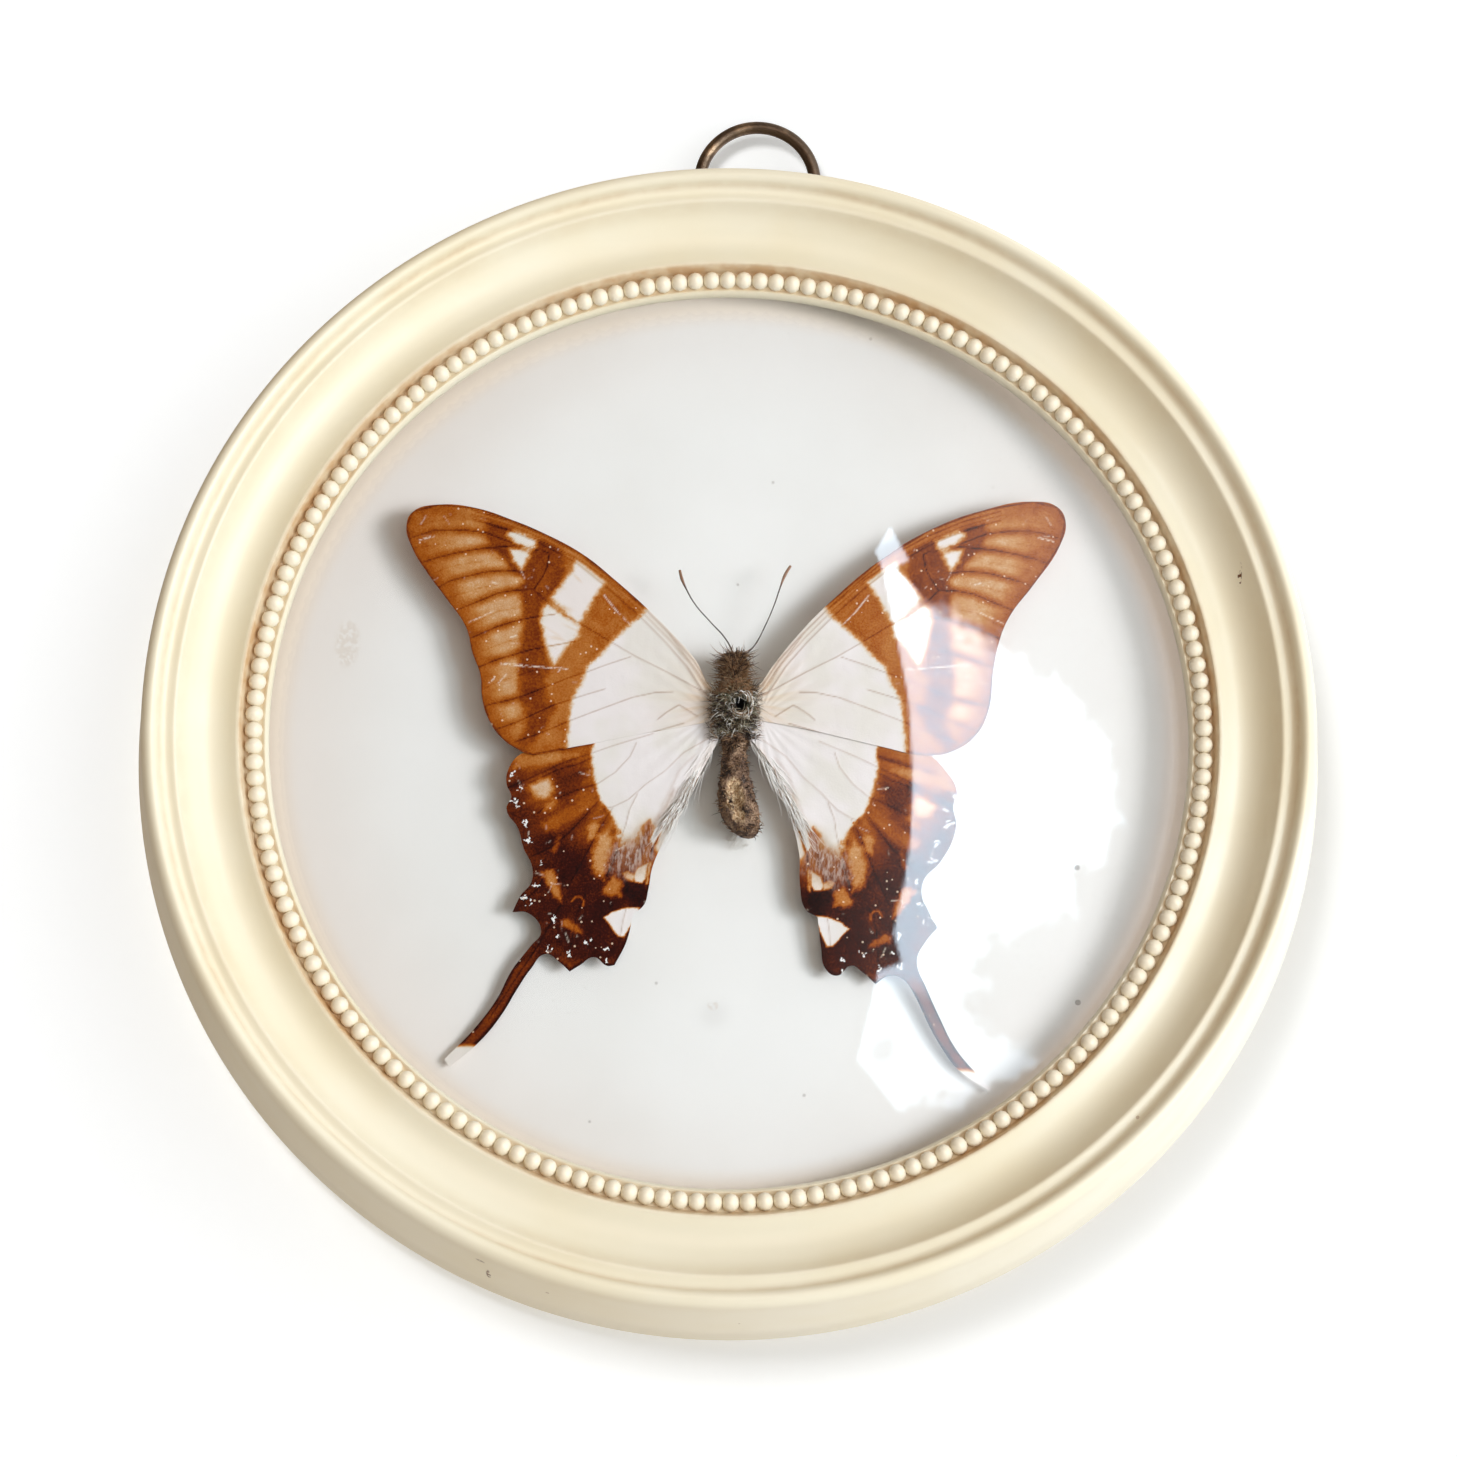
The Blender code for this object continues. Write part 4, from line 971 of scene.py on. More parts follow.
class SPECIMEN_OT_ring(Operator):
    """Bend the wire of the hanging ring, its ends meeting in the strap"""

    bl_idname = "specimen.ring"
    bl_label = "Hanging ring"

    def execute(self, context):
        wire_radius = context.scene.specimen_sizes.ring_wire
        ring_radius = 7.66 * MM
        deselect()
        bpy.ops.mesh.primitive_circle_add(vertices=20, radius=wire_radius, fill_type="NGON",
                                          location=(0.0, -ring_radius, 0.0), rotation=(0.0, math.pi / 2, 0.0))
        ring = start_piece("wire_ring")
        bpy.ops.object.transform_apply(location=True, rotation=True, scale=False)
        bpy.ops.object.mode_set(mode="EDIT")
        bpy.ops.mesh.select_all(action="SELECT")
        bpy.ops.mesh.inset(thickness=0.12 * MM)
        bpy.ops.mesh.select_all(action="SELECT")
        bpy.ops.mesh.spin(steps=120, angle=math.radians(358.6), center=(0.0, 0.0, 0.0), axis=(0.0, 0.0, 1.0))
        bpy.ops.object.mode_set(mode="OBJECT")
        weld(ring, 0.002)
        points = points_of(ring)
        for point in points:
            point += 0.02 * np.array(noise.noise_vector(Vector(point) / 2.5))
        move_points(ring, points)
        shade(ring, 50.0)
        bronze = aged_metal("dark_bronze", context.scene.specimen_colours.bronze, srgb(140, 116, 92), 0.34)
        lean = Matrix.Rotation(math.radians(3.0), 4, "X")
        hinge = Matrix.Translation((0.0, HINGE_UP * MM, -HINGE_BACK * MM))
        stands = UPRIGHT @ hinge @ lean @ Matrix.Translation((0.0, ring_radius, 0.0))
        finish_piece(ring, bronze, "ring", stands, ["hanging_ring"])
        return {"FINISHED"}


# Butterfly


def soft_step(low, high, values):
    t = np.clip((values - low) / (high - low), 0.0, 1.0)
    return t * t * (3 - 2 * t)


def from_line(x, y, line, closed=False):
    """Distance of every point from a line of points."""
    nearest = np.full(len(x), 1e9)
    ends = list(zip(line, line[1:] + (line[:1] if closed else [])))
    for (ax, ay), (bx, by) in ends:
        length = max((bx - ax) ** 2 + (by - ay) ** 2, 1e-9)
        t = np.clip(((x - ax) * (bx - ax) + (y - ay) * (by - ay)) / length, 0.0, 1.0)
        nearest = np.minimum(nearest, np.hypot(x - ax - t * (bx - ax), y - ay - t * (by - ay)))
    return nearest


def depth_in(x, y, outline):
    """How far inside an outline every point lies; below zero outside."""
    inside = np.zeros(len(x), dtype=bool)
    for (ax, ay), (bx, by) in zip(outline, outline[1:] + outline[:1]):
        if ay != by:
            crosses = ((ay > y) != (by > y)) & (x < (bx - ax) * (y - ay) / (by - ay) + ax)
            inside ^= crosses
    away = from_line(x, y, outline, closed=True)
    return np.where(inside, away, -away)


def line_mask(away, width):
    """1 on a line and fading to both sides, by the distance from it."""
    return np.exp(-((away / width) ** 2))


def towards(values, mask, target):
    """Bring values toward a target where the mask is 1."""
    return values + (target - values) * mask


def wavy(x, y, scale, seed=0.0):
    """Soft noise between -1 and 1 for every point."""
    return np.array([noise.noise(Vector((a * scale, b * scale, seed))) for a, b in zip(x, y)])


def torn(x, y, broad):
    """Noise of three sizes that makes the pattern's edges ragged."""
    return broad * wavy(x, y, 1.6) + 0.16 * wavy(x, y, 4.0, 3.0) + 0.12 * wavy(x, y, 9.0, 4.0)


def scratches(x, y, count, low, high, seed):
    """Fine lines where the scales are rubbed off, scattered over an area."""
    dice = random.Random(seed)
    total = np.zeros(len(x))
    for _ in range(count):
        ax, ay = dice.uniform(low[0], high[0]), dice.uniform(low[1], high[1])
        bearing, length = dice.uniform(0.0, math.pi), dice.choice((0.1, 0.2, 0.5, 1.3))
        end = (ax + length * math.cos(bearing), ay + length * math.sin(bearing))
        line = line_mask(from_line(x, y, [(ax, ay), end]), dice.uniform(0.04, 0.08))
        total = np.maximum(total, line * dice.uniform(0.35, 0.9))
    return total


def shards(x, y, spots):
    """Clusters of short bright strokes, one at each place, as wide as its size."""
    dice = random.Random(12)
    total = np.zeros(len(x))
    for across, up, size in spots:
        for _ in range(6):
            ax, ay = across + dice.gauss(0.0, 0.5) * size, up + dice.gauss(0.0, 0.6) * size
            bearing, length = dice.gauss(2.2, 0.8), dice.uniform(0.2, 1.0) * size
            end = (ax + length * math.cos(bearing), ay + length * math.sin(bearing))
            total = np.maximum(total, line_mask(from_line(x, y, [(ax, ay), end]), dice.uniform(0.07, 0.15)))
    return total


def forewing_pattern(x, y, margin):
    """Tone, veins and rubbed marks of a forewing, read as on the left wing; its silver marks and haze are left at
    zero.
    """
    ragged = torn(x, y, 0.22)
    coloured = soft_step(-0.5, 0.45, depth_in(x, y, FOREWING_INNER_EDGE) + ragged)
    stripe = soft_step(-0.7, 0.55, depth_in(x, y, FOREWING_STRIPE) + ragged)
    vein = np.zeros(len(x))
    near_vein = np.full(len(x), 9.0)
    for line in FOREWING_VEINS:
        away = from_line(x, y, line)
        if line in FOREWING_FOLDS:
            vein = np.maximum(vein, 0.4 * line_mask(away, 0.07))
        else:
            near_vein = np.minimum(near_vein, away)
            vein = np.maximum(vein, line_mask(away, 0.075 + 0.02 * wavy(x, y, 0.8, 6.0)))
    rays = wavy(np.arctan2(y - 4.0, x + 2.0) * 34.0, np.hypot(y - 4.0, x + 2.0) * 0.3, 1.0, 7.0)
    tone = 0.57 + 0.05 * wavy(x, y, 0.5, 5.0) + 0.03 * rays - 0.05 * soft_step(-14.0, -22.0, x)
    outer = soft_step(-1.4, 0.6, -26.2 + 0.1 * (y - 10.0) - x)
    cells = soft_step(0.05, 1.05, near_vein) * soft_step(0.3, 3.4, margin)
    apex = soft_step(-33.0, -37.5, x)
    cells = cells * (1.0 - 0.55 * apex)
    tone = towards(tone, outer, 0.6 - 0.27 * cells + 0.04 * wavy(x, y, 0.9, 2.0) + 0.03 * rays)
    tone = towards(tone, stripe, 0.71 + 0.04 * wavy(x, y, 0.7, 1.0))
    edge = soft_step(1.2, 0.0, margin) * soft_step(-12.0, -20.0, x)
    tone = towards(tone, edge * 0.5, 0.64)
    tone = tone * coloured
    for outline in FOREWING_PALE:
        pale = soft_step(-0.55, 0.45, depth_in(x, y, outline) + ragged)
        tone = towards(tone, pale * (1.0 - 0.3 * soft_step(0.2, 0.8, rays)), 0.02)
    front_edge = from_line(x, y, FOREWING_FRONT)
    costa = soft_step(1.5, 0.7, front_edge)
    tone = towards(tone, costa * 0.7, 0.07 + 0.4 * coloured)
    for place, strength in ((0.3, 1.0), (0.85, 0.6), (1.45, 0.8)):
        vein = np.maximum(vein, strength * line_mask(front_edge - place, 0.1) * (x > -33.0))
    tone = tone + vein * (0.2 - 0.04 * apex) * coloured
    by_root = line_mask(np.hypot(x + 1.0, y - 3.5), 6.5) * (1.0 - coloured)
    spokes = wavy(np.arctan2(y - 3.5, x + 0.5) * 9.0, x * 0.1, 1.0)
    tone = tone + by_root * (0.1 + 0.12 * soft_step(0.0, 0.8, spokes))
    vein = np.clip(vein * (1.0 + 0.7 * by_root), 0.0, 1.0)
    tone = towards(tone, soft_step(0.2, 0.03, margin) * soft_step(-3.0, 6.0, y + 8.0 * coloured) * coloured, 0.78)
    rubbed = 0.6 * scratches(x, y, 60, (-41.0, -2.0), (-15.0, 29.0), 5)
    for start, end, width in FOREWING_RUBS:
        rubbed = np.maximum(rubbed, 0.9 * line_mask(from_line(x, y, [start, end]), 0.8 * width))
    return tone, vein, rubbed * soft_step(0.15, 0.3, tone), np.zeros(len(x)), np.zeros(len(x))


def hindwing_pattern(x, y, margin):
    """Tone, rubbed and silver marks and haze of a hindwing, read as on the left wing."""
    ragged = torn(x, y, 0.2)
    bearing = np.arctan2(y - 1.0, x + 1.5)
    reach = np.hypot(y - 1.0, x + 1.5)
    rays = wavy(bearing * 9.0, reach * 0.12, 1.0, 8.0) * 0.5 + wavy(bearing * 26.0, reach * 0.16, 1.0, 2.0) * 0.5
    darker = soft_step(-8.5, -17.5, y + 0.45 * (x + 19.0))
    rim = soft_step(3.6, 0.8, margin) * soft_step(-18.5, -21.0, x) * soft_step(-2.6, -5.5, y)
    tone = 0.585 + 0.3 * darker + 0.24 * rays * (1.0 - 0.6 * darker)
    tone = towards(tone, rim * 0.75, 0.84)
    vein = np.zeros(len(x))
    near_vein = np.full(len(x), 9.0)
    for line in HINDWING_VEINS:
        away = from_line(x, y, line)
        near_vein = np.minimum(near_vein, away)
        vein = np.maximum(vein, (0.8 + 0.2 * wavy(x, y, 0.7)) * line_mask(away, 0.075))
    tone = tone + 0.1 * soft_step(0.9, 0.1, near_vein) * (1.0 - darker)
    for outline, target, softness in HINDWING_DARK:
        softness = softness * 1.5
        mask = soft_step(-softness, softness, depth_in(x, y, outline) + 2.0 * ragged)
        tone = towards(tone, mask * 0.8, target)
    for outline, target, softness in HINDWING_SPOTS:
        mask = soft_step(-softness, softness, depth_in(x, y, outline) + ragged * min(1.6, 3.0 * softness))
        tone = towards(tone, mask * (0.84 if target > 0.1 else 1.0), target + 0.05 * rays)
    tone = towards(tone, line_mask(from_line(x, y, HINDWING_HOOK), 0.12) * 0.7, 0.4)
    faded = soft_step(-11.0, -14.5, y) * soft_step(-15.5, -13.0, x)
    base = depth_in(x, y, HINDWING_BASE) + ragged * (1.0 + 2.0 * faded) + 0.9 * faded * rays
    base = soft_step(-0.35, 0.35, base / (1.0 + 3.0 * faded))
    tone = tone * (1.0 - base)
    haze = soft_step(-1.7, 1.3, depth_in(x, y, HINDWING_HAZE) + 1.6 * ragged + 0.7 * rays) * soft_step(-10.0, -14.4, y)
    tone = towards(tone, haze * 0.5, 0.5 + 0.2 * rays)
    for line, width, strength in HINDWING_STREAKS:
        streak = line_mask(from_line(x, y, line) + 0.5 * ragged, width)
        vein = np.maximum(vein, strength * streak * (0.7 + 0.3 * wavy(x, y, 3.0, 2.0)))
    for line, width, target in HINDWING_CRACKS:
        tone = towards(tone, line_mask(from_line(x, y, line) + 0.5 * ragged, width), target)
    chip = soft_step(-0.08, 0.05, depth_in(x, y, HINDWING_CHIP))
    tone = towards(tone, chip, 0.0)
    haze = haze * (1.0 - chip)
    inner = soft_step(1.2, 0.4, from_line(x, y, HINDWING_INNER_MARGIN))
    tone = towards(tone, inner * 0.85, 0.04)
    tail = soft_step(-28.4, -30.0, y)
    tone = towards(tone, tail, 0.76 + 0.1 * rays + 0.18 * soft_step(0.45, 0.1, margin))
    tip = soft_step(-39.4, -40.2, y)
    tone = towards(tone, tip, 0.03)
    vein = vein * (1.0 - tip)
    tone = tone + 0.16 * vein * soft_step(0.2, 0.35, tone)
    silver = shards(x, y, HINDWING_SILVER)
    rubbed = 0.7 * scratches(x, y, 60, (-28.0, -29.0), (-10.0, -3.0), 8) * soft_step(0.15, 0.3, tone)
    return tone, vein, rubbed, silver, haze


def wing_height(across, up):
    """How high the wings' rear face lies in the solids: level across the forewings, sinking to tails and tips."""
    t = np.clip((up + 45.0) / 45.0, 0.0, 1.0)
    rise = 1.2 + 1.8 * t * t * (3 - 2 * t)
    return CARD_TOP + rise - 0.9 * ((across - BODY_MIDLINE) / 42.0) ** 2


def wing_cutter(outline):
    """The wing's outline as a tall block, to cut the wing from its sheet."""
    deselect()
    bpy.ops.curve.primitive_bezier_circle_add(radius=MM)
    cutter = start_piece("wing_cutter")
    curve = cutter.data
    curve.dimensions = "2D"
    curve.fill_mode = "BOTH"
    curve.extrude = 2 * MM
    curve.resolution_u = 6
    knots = curve.splines[0].bezier_points
    knots.add(len(outline) - len(knots))
    for knot, point in zip(knots, outline):
        knot.co = (point[0] * MM, point[1] * MM, 0.0)
        kind = "VECTOR" if TIP in point else "AUTO"
        knot.handle_left_type = kind
        knot.handle_right_type = kind
    make_active(cutter)
    bpy.ops.object.convert(target="MESH")
    return weld(cutter, 0.01)


def cut_wing(name, outline, sizes):
    """Cut a wing from a finely divided thin sheet, as with a pastry cutter."""
    across = [point[0] for point in outline]
    up = [point[1] for point in outline]
    low, high = Vector((min(across) - 1, min(up) - 1)), Vector((max(across) + 1, max(up) + 1))
    middle, size = (low + high) / 2 * MM, (high - low) * MM
    grain = sizes.wing_grain
    deselect()
    bpy.ops.mesh.primitive_grid_add(x_subdivisions=int(size.x / grain), y_subdivisions=int(size.y / grain), size=1.0,
                                    location=(0.0, 0.0, 0.0))
    wing = start_piece(name)
    wing.scale = (size.x, size.y, 1.0)
    wing.location = (middle.x, middle.y, 0.0)
    bpy.ops.object.transform_apply(location=True, rotation=False, scale=True)
    apply_modifier(wing, "SOLIDIFY", thickness=sizes.wing_thickness, offset=0.0)
    cutter = wing_cutter(outline)
    make_active(wing)
    apply_modifier(wing, "BOOLEAN", operation="INTERSECT", solver="MANIFOLD", object=cutter)
    bpy.data.objects.remove(cutter, do_unlink=True)
    if len(wing.data.polygons) < 1000:
        raise RuntimeError(f"{name} was not cut from its sheet")
    return wing


def unfold(x, y, side, hind):
    """The place on the left wing that a place on this wing answers to."""
    if side == "left":
        return x, y
    if hind:
        turn = math.radians(5.8)
        dx, dy = x - 2.2, y
        x = 2.2 + dx * math.cos(turn) - dy * math.sin(turn)
        y = dx * math.sin(turn) + dy * math.cos(turn)
    return 2 * 0.9 - x, y


def shape_wing(wing, outline, side, hind):
    """Give the wing its height, veins and folds, and paint its pattern."""
    points = points_of(wing)
    x, y = points[:, 0].copy(), points[:, 1].copy()
    plain = [(point[0], point[1]) for point in outline]
    margin = from_line(x, y, plain, closed=True)
    left_x, left_y = unfold(x, y, side, hind)
    pattern = hindwing_pattern if hind else forewing_pattern
    tone, vein, rubbed, silver, haze = pattern(left_x, left_y, margin)
    for name, values in (("tone", tone), ("rubbed", rubbed), ("silver", silver), ("haze", haze), ("vein", vein)):
        paint(wing, name, np.clip(values, 0.0, 1.0))
    front = points[:, 2] > 0.0
    ripple = 0.05 * wavy(x, y, 0.35, 9.0) + 0.02 * wavy(x, y, 1.1, 6.0)
    root = np.hypot(left_x + 2.0, left_y - 2.0)
    bearing = np.arctan2(left_y - 2.0, left_x + 2.0)
    folds = 0.03 * np.sin(bearing * 26.0) * line_mask(root, 16.0)
    lift = 0.45 * soft_step(-11.0, -2.0, y) if hind else FOREWING_OVER
    height = wing_height(x, y) + lift + 0.17 + ripple + folds
    points[:, 2] = height + np.where(front, 0.06 + 0.05 * vein, -0.06 - 0.03 * vein)
    move_points(wing, points)


class SPECIMEN_OT_wings(Operator):
    """Cut, bend and paint the four wings"""

    bl_idname = "specimen.wings"
    bl_label = "Wings"

    def execute(self, context):
        sizes = context.scene.specimen_sizes
        mat = wing_scales()
        for name, node, outline, side, hind in [
            ("left_forewing", "forewing_left", FOREWING_LEFT, "left", False),
            ("right_forewing", "forewing_right", FOREWING_RIGHT, "right", False),
            ("left_hindwing", "hindwing_left", HINDWING_LEFT, "left", True),
            ("right_hindwing", "hindwing_right", HINDWING_RIGHT, "right", True),
        ]:
            wing = cut_wing(name, outline, sizes)
            shape_wing(wing, outline, side, hind)
            shade(wing, 60.0)
            finish_piece(wing, mat, "case", UPRIGHT @ SPECIMEN_TURN, [node])
        return {"FINISHED"}


def body_width(along):
    """Half width of the body at a place along it."""
    places = [spot for _, spot in BODY_PROFILE][::-1]
    widths = [width for width, _ in BODY_PROFILE][::-1]
    return np.interp(along, places, widths)


def body_sway(along):
    past = np.clip((-5.0 - along) / 8.8, 0.0, 1.0)
    return 1.7 * past * past


def egg_depth(points, centre, size):
    """Above zero inside an egg shape."""
    return 1.0 - np.sqrt((((points - np.array(centre)) / np.array(size)) ** 2).sum(axis=1))


class SPECIMEN_OT_body(Operator):
    """Turn the body, dig out its damage, paint shade into the pin's hole and grow its hair"""

    bl_idname = "specimen.body"
    bl_label = "Body"

    def execute(self, context):
        along = np.linspace(10.4, -13.8, 110)
        width = np.convolve(np.pad(body_width(along), 2, mode="edge"), np.ones(5) / 5, mode="valid")
        width[0] = width[-1] = 0.0
        profile = [(BODY_MIDLINE + half, spot, BODY_AXIS_HEIGHT) for half, spot in zip(width, along)]
        body = turn_on_lathe("insect_body", profile, 72, (BODY_MIDLINE, 0.0, BODY_AXIS_HEIGHT), (0.0, 1.0, 0.0))
        points = points_of(body)
        middle = np.array((BODY_MIDLINE, 0.0, BODY_AXIS_HEIGHT))
        radial = points - middle
        radial[:, 1] = 0.0
        length = np.maximum(np.hypot(radial[:, 0], radial[:, 2]), 1e-6)
        lumps = np.array([noise.fractal(Vector(point) * 0.9, 0.6, 2.2, 5) for point in points])
        rings = np.where(points[:, 1] < -2.5, 0.05 * np.sin(points[:, 1] * 3.6), 0.0)
        swell = ((0.26 + 0.2 * (points[:, 1] > -1.5)) * lumps + rings) * np.clip(length / 1.2, 0.0, 1.0)
        points += radial / length[:, None] * swell[:, None]
        shift = Vector((3.0, 9.0, 4.0))
        ragged = np.array([noise.fractal(Vector(point) * 1.7 + shift, 0.7, 2.2, 4) for point in points])
        hole = egg_depth(points + 0.35 * ragged[:, None], (*PIN_HOLE, BODY_AXIS_HEIGHT + 2.4), (0.75, 1.4, 1.7))
        points[:, 2] -= np.clip(hole, 0.0, 1.0) * 3.2
        split = egg_depth(points + 0.45 * ragged[:, None], (0.4, -9.2, BODY_AXIS_HEIGHT + 2.2), (1.25, 3.2, 1.5))
        points[:, 2] -= np.clip(split, 0.0, 1.0) * 1.3
        points[:, 0] += body_sway(points[:, 1])
        points[:, 2] = np.maximum(points[:, 2], CARD_TOP + 0.05)
        move_points(body, points)
        # Mask for the painted shade in the pin's hole
        paint(body, "hollow", np.clip(hole * 5.0, 0.0, 1.0))
        paint(body, "open", np.clip(split * 6.0, 0.0, 1.0))
        paint(body, "collar", soft_step(4.2, 5.2, points[:, 1]))
        paint(body, "thorax", soft_step(-1.0, 0.8, points[:, 1]) * soft_step(6.4, 5.0, points[:, 1]))
        shade(body, 70.0)
        finish_piece(body, insect_body(), "case", UPRIGHT @ SPECIMEN_TURN, ["butterfly_body"])
        self.grow_hair(context.scene.specimen_sizes.hair_count)
        return {"FINISHED"}

    def grow_hair(self, count):
        """Copy one tapered hair over the body, the wing roots and the tail end."""
        deselect()
        bpy.ops.mesh.primitive_cone_add(vertices=3, radius1=1.0, radius2=0.12, depth=1.0, location=(0.0, 0.0, 0.5))
        hair = start_piece("hair")
        bpy.ops.object.transform_apply(location=True, rotation=False, scale=False)
        bpy.ops.object.mode_set(mode="EDIT")
        for height in (0.25, 0.5, 0.75):
            bpy.ops.mesh.select_all(action="SELECT")
            bpy.ops.mesh.bisect(plane_co=(0.0, 0.0, height), plane_no=(0.0, 0.0, 1.0))
        bpy.ops.object.mode_set(mode="OBJECT")
        shape = points_of(hair) * MM
        dice = random.Random(7)
        spots, shades = [], []

        def strand(start, pull, end, radius, tint):
            start, pull, end = (np.array(spot, dtype=float) for spot in (start, pull, end))
            t = shape[:, 2:]
            line = start * (1 - t) ** 2 + pull * 2 * t * (1 - t) + end * t * t
            course = Vector(end - start).normalized()
            side = np.array(course.orthogonal().normalized())
            other = np.array(course.cross(Vector(side)))
            spots.append(line + radius * (shape[:, :1] * side + shape[:, 1:2] * other))
            shades.append(tint)

        for _ in range(count):
            along = dice.choice((dice.uniform(-2.5, 10.2), dice.uniform(-13.5, 10.2)))
            angle = dice.gauss(0.0, 1.0)
            out = np.array((math.sin(angle), 0.0, math.cos(angle)))
            half = float(body_width(along))
            root = np.array((BODY_MIDLINE + float(body_sway(along)), along, BODY_AXIS_HEIGHT)) + out * half
            in_hole = (root[0] - 1.5) ** 2 / 0.5 + (along - 3.1) ** 2 / 0.9 < 1.0 and out[2] > 0.3
            in_split = abs(root[0] - 0.8) < 1.3 and -12.4 < along < -5.5 and out[2] > 0.3
            if in_hole or in_split:
                continue
            head, thorax = along > 6.6, -0.6 < along <= 6.6
            length = dice.uniform(0.7, 1.8) * (1.0 if head or thorax else 0.5)
            lean = np.array((dice.gauss(0, 0.6), dice.gauss(0.25 if head else -0.35, 0.6), dice.gauss(0, 0.25)))
            way = out * (0.8 if head else 0.55) + lean * 0.7
            tip = root + way * length
            curl = root + out * length * 0.6 + lean * length * 0.2
            if head:
                tint = dice.choice((0.1, 0.24, 0.36, 0.45, 0.5, 0.54))
            elif thorax:
                tint = dice.choice((0.5, 0.42, 0.6) if along > 4.6 else (0.02, 0.1, 0.3, 0.62, 0.66, 0.75, 0.95))
            else:
                tint = dice.choice((0.05, 0.15, 0.3, 0.42, 0.5))
            tip[2] = max(tip[2], CARD_TOP + 0.2)
            strand(root - out * 0.1, curl, tip, dice.uniform(0.05, 0.11), tint + dice.uniform(-0.06, 0.06))
        # Curled pale fibres round the pin's hole
        for _ in range(100):
            angle = dice.choice((dice.uniform(0.0, math.tau), dice.uniform(3.0, 5.2)))
            ring = dice.uniform(1.1, 2.0)
            turn = angle + dice.uniform(0.5, 1.3)
            height = BODY_AXIS_HEIGHT + dice.uniform(2.3, 2.9) - 0.3 * (ring - 1.1)
            across, up = PIN_FIBRES
            first = (across + 0.8 * ring * math.cos(angle), up + ring * math.sin(angle), height - 0.2)
            last = (across + 0.8 * ring * math.cos(turn), up + ring * math.sin(turn), height)
            half = (angle + turn) / 2
            bulge = (across + 1.05 * ring * math.cos(half), up + 1.25 * ring * math.sin(half), height + 0.3)
            strand(first, bulge, last, dice.uniform(0.06, 0.12), dice.choice((0.5, 0.85, 0.9, 1.0)))
        # Dark and pale tufts where the wings join, and white hairs along the inner margins
        for side in (-1, 1):
            for _ in range(170):
                along = dice.uniform(-1.2, 6.0)
                start = (BODY_MIDLINE + side * dice.uniform(1.9, 2.6), along,
                         BODY_AXIS_HEIGHT + dice.uniform(-0.6, 1.4))
                reach, swing = dice.uniform(0.5, 1.7), dice.uniform(-1.3, 0.9)
                end = (start[0] + side * reach * math.cos(swing), along + reach * math.sin(swing),
                       BODY_AXIS_HEIGHT + dice.uniform(1.0, 2.0))
                pull = (start[0] + side * 0.5 * reach, along + dice.uniform(-0.6, 0.6),
                        end[2] + dice.uniform(0.0, 0.5))
                tint = dice.choice((0.05, 0.12, 0.25, 0.35, 0.5, 0.66, 0.85, 0.95))
                strand(start, pull, end, dice.uniform(0.045, 0.09), tint)
            for _ in range(120):
                t = dice.random() ** 0.8
                root = np.array((1.9, -0.4)) * (1 - t) + np.array((7.6, -11.6)) * t
                root = root + np.array((dice.uniform(-0.3, 1.0), dice.uniform(-0.4, 0.6)))
                reach = dice.uniform(2.2, 5.6)
                slope = dice.gauss(0.0, 0.13)
                way = np.array((0.47 + slope, -0.88 + 0.5 * slope)) * reach
                bottom, top = root, root + way
                first = float(wing_height(np.array(bottom[0]), np.array(bottom[1]))) + dice.uniform(0.3, 0.6)
                last = float(wing_height(np.array(top[0]), np.array(top[1]))) + dice.uniform(0.25, 0.8)
                start = (BODY_MIDLINE + side * bottom[0], bottom[1], first)
                end = (BODY_MIDLINE + side * top[0], top[1], last)
                bend = dice.uniform(-0.5, 0.5)
                pull = ((start[0] + end[0]) / 2 + side * bend, (start[1] + end[1]) / 2 + bend * 0.5,
                        max(first, last) + dice.uniform(0.0, 0.3))
                tint = dice.choice((0.5, 0.97, 1.0, 1.0, 1.0, 1.0, 1.0))
                strand(start, pull, end, dice.uniform(0.05, 0.1) * (0.6 if tint < 0.8 else 1.0), tint)
        # Fluff and one long hair by the tail end
        for _ in range(46):
            start = (dice.uniform(0.4, 2.6), dice.uniform(-14.0, -12.4), CARD_TOP + dice.uniform(0.1, 1.4))
            bearing = dice.uniform(2.4, 4.9)
            reach = dice.uniform(0.8, 2.2)
            end = (start[0] + reach * math.cos(bearing), start[1] + reach * math.sin(bearing), CARD_TOP + 0.1)
            pull = (start[0] + dice.uniform(-0.8, 0.8), start[1] - dice.uniform(0.2, 1.2), CARD_TOP + 0.5)
            strand(start, pull, end, dice.uniform(0.025, 0.045), dice.uniform(0.88, 1.0))
        fur = copies_of(hair, "body_hair", spots)
        paint(fur, "shade", np.clip(np.repeat(shades, len(shape)), 0.0, 1.0))
        fur.data.shade_smooth()
        finish_piece(fur, insect_hair(), "case", UPRIGHT @ SPECIMEN_TURN)


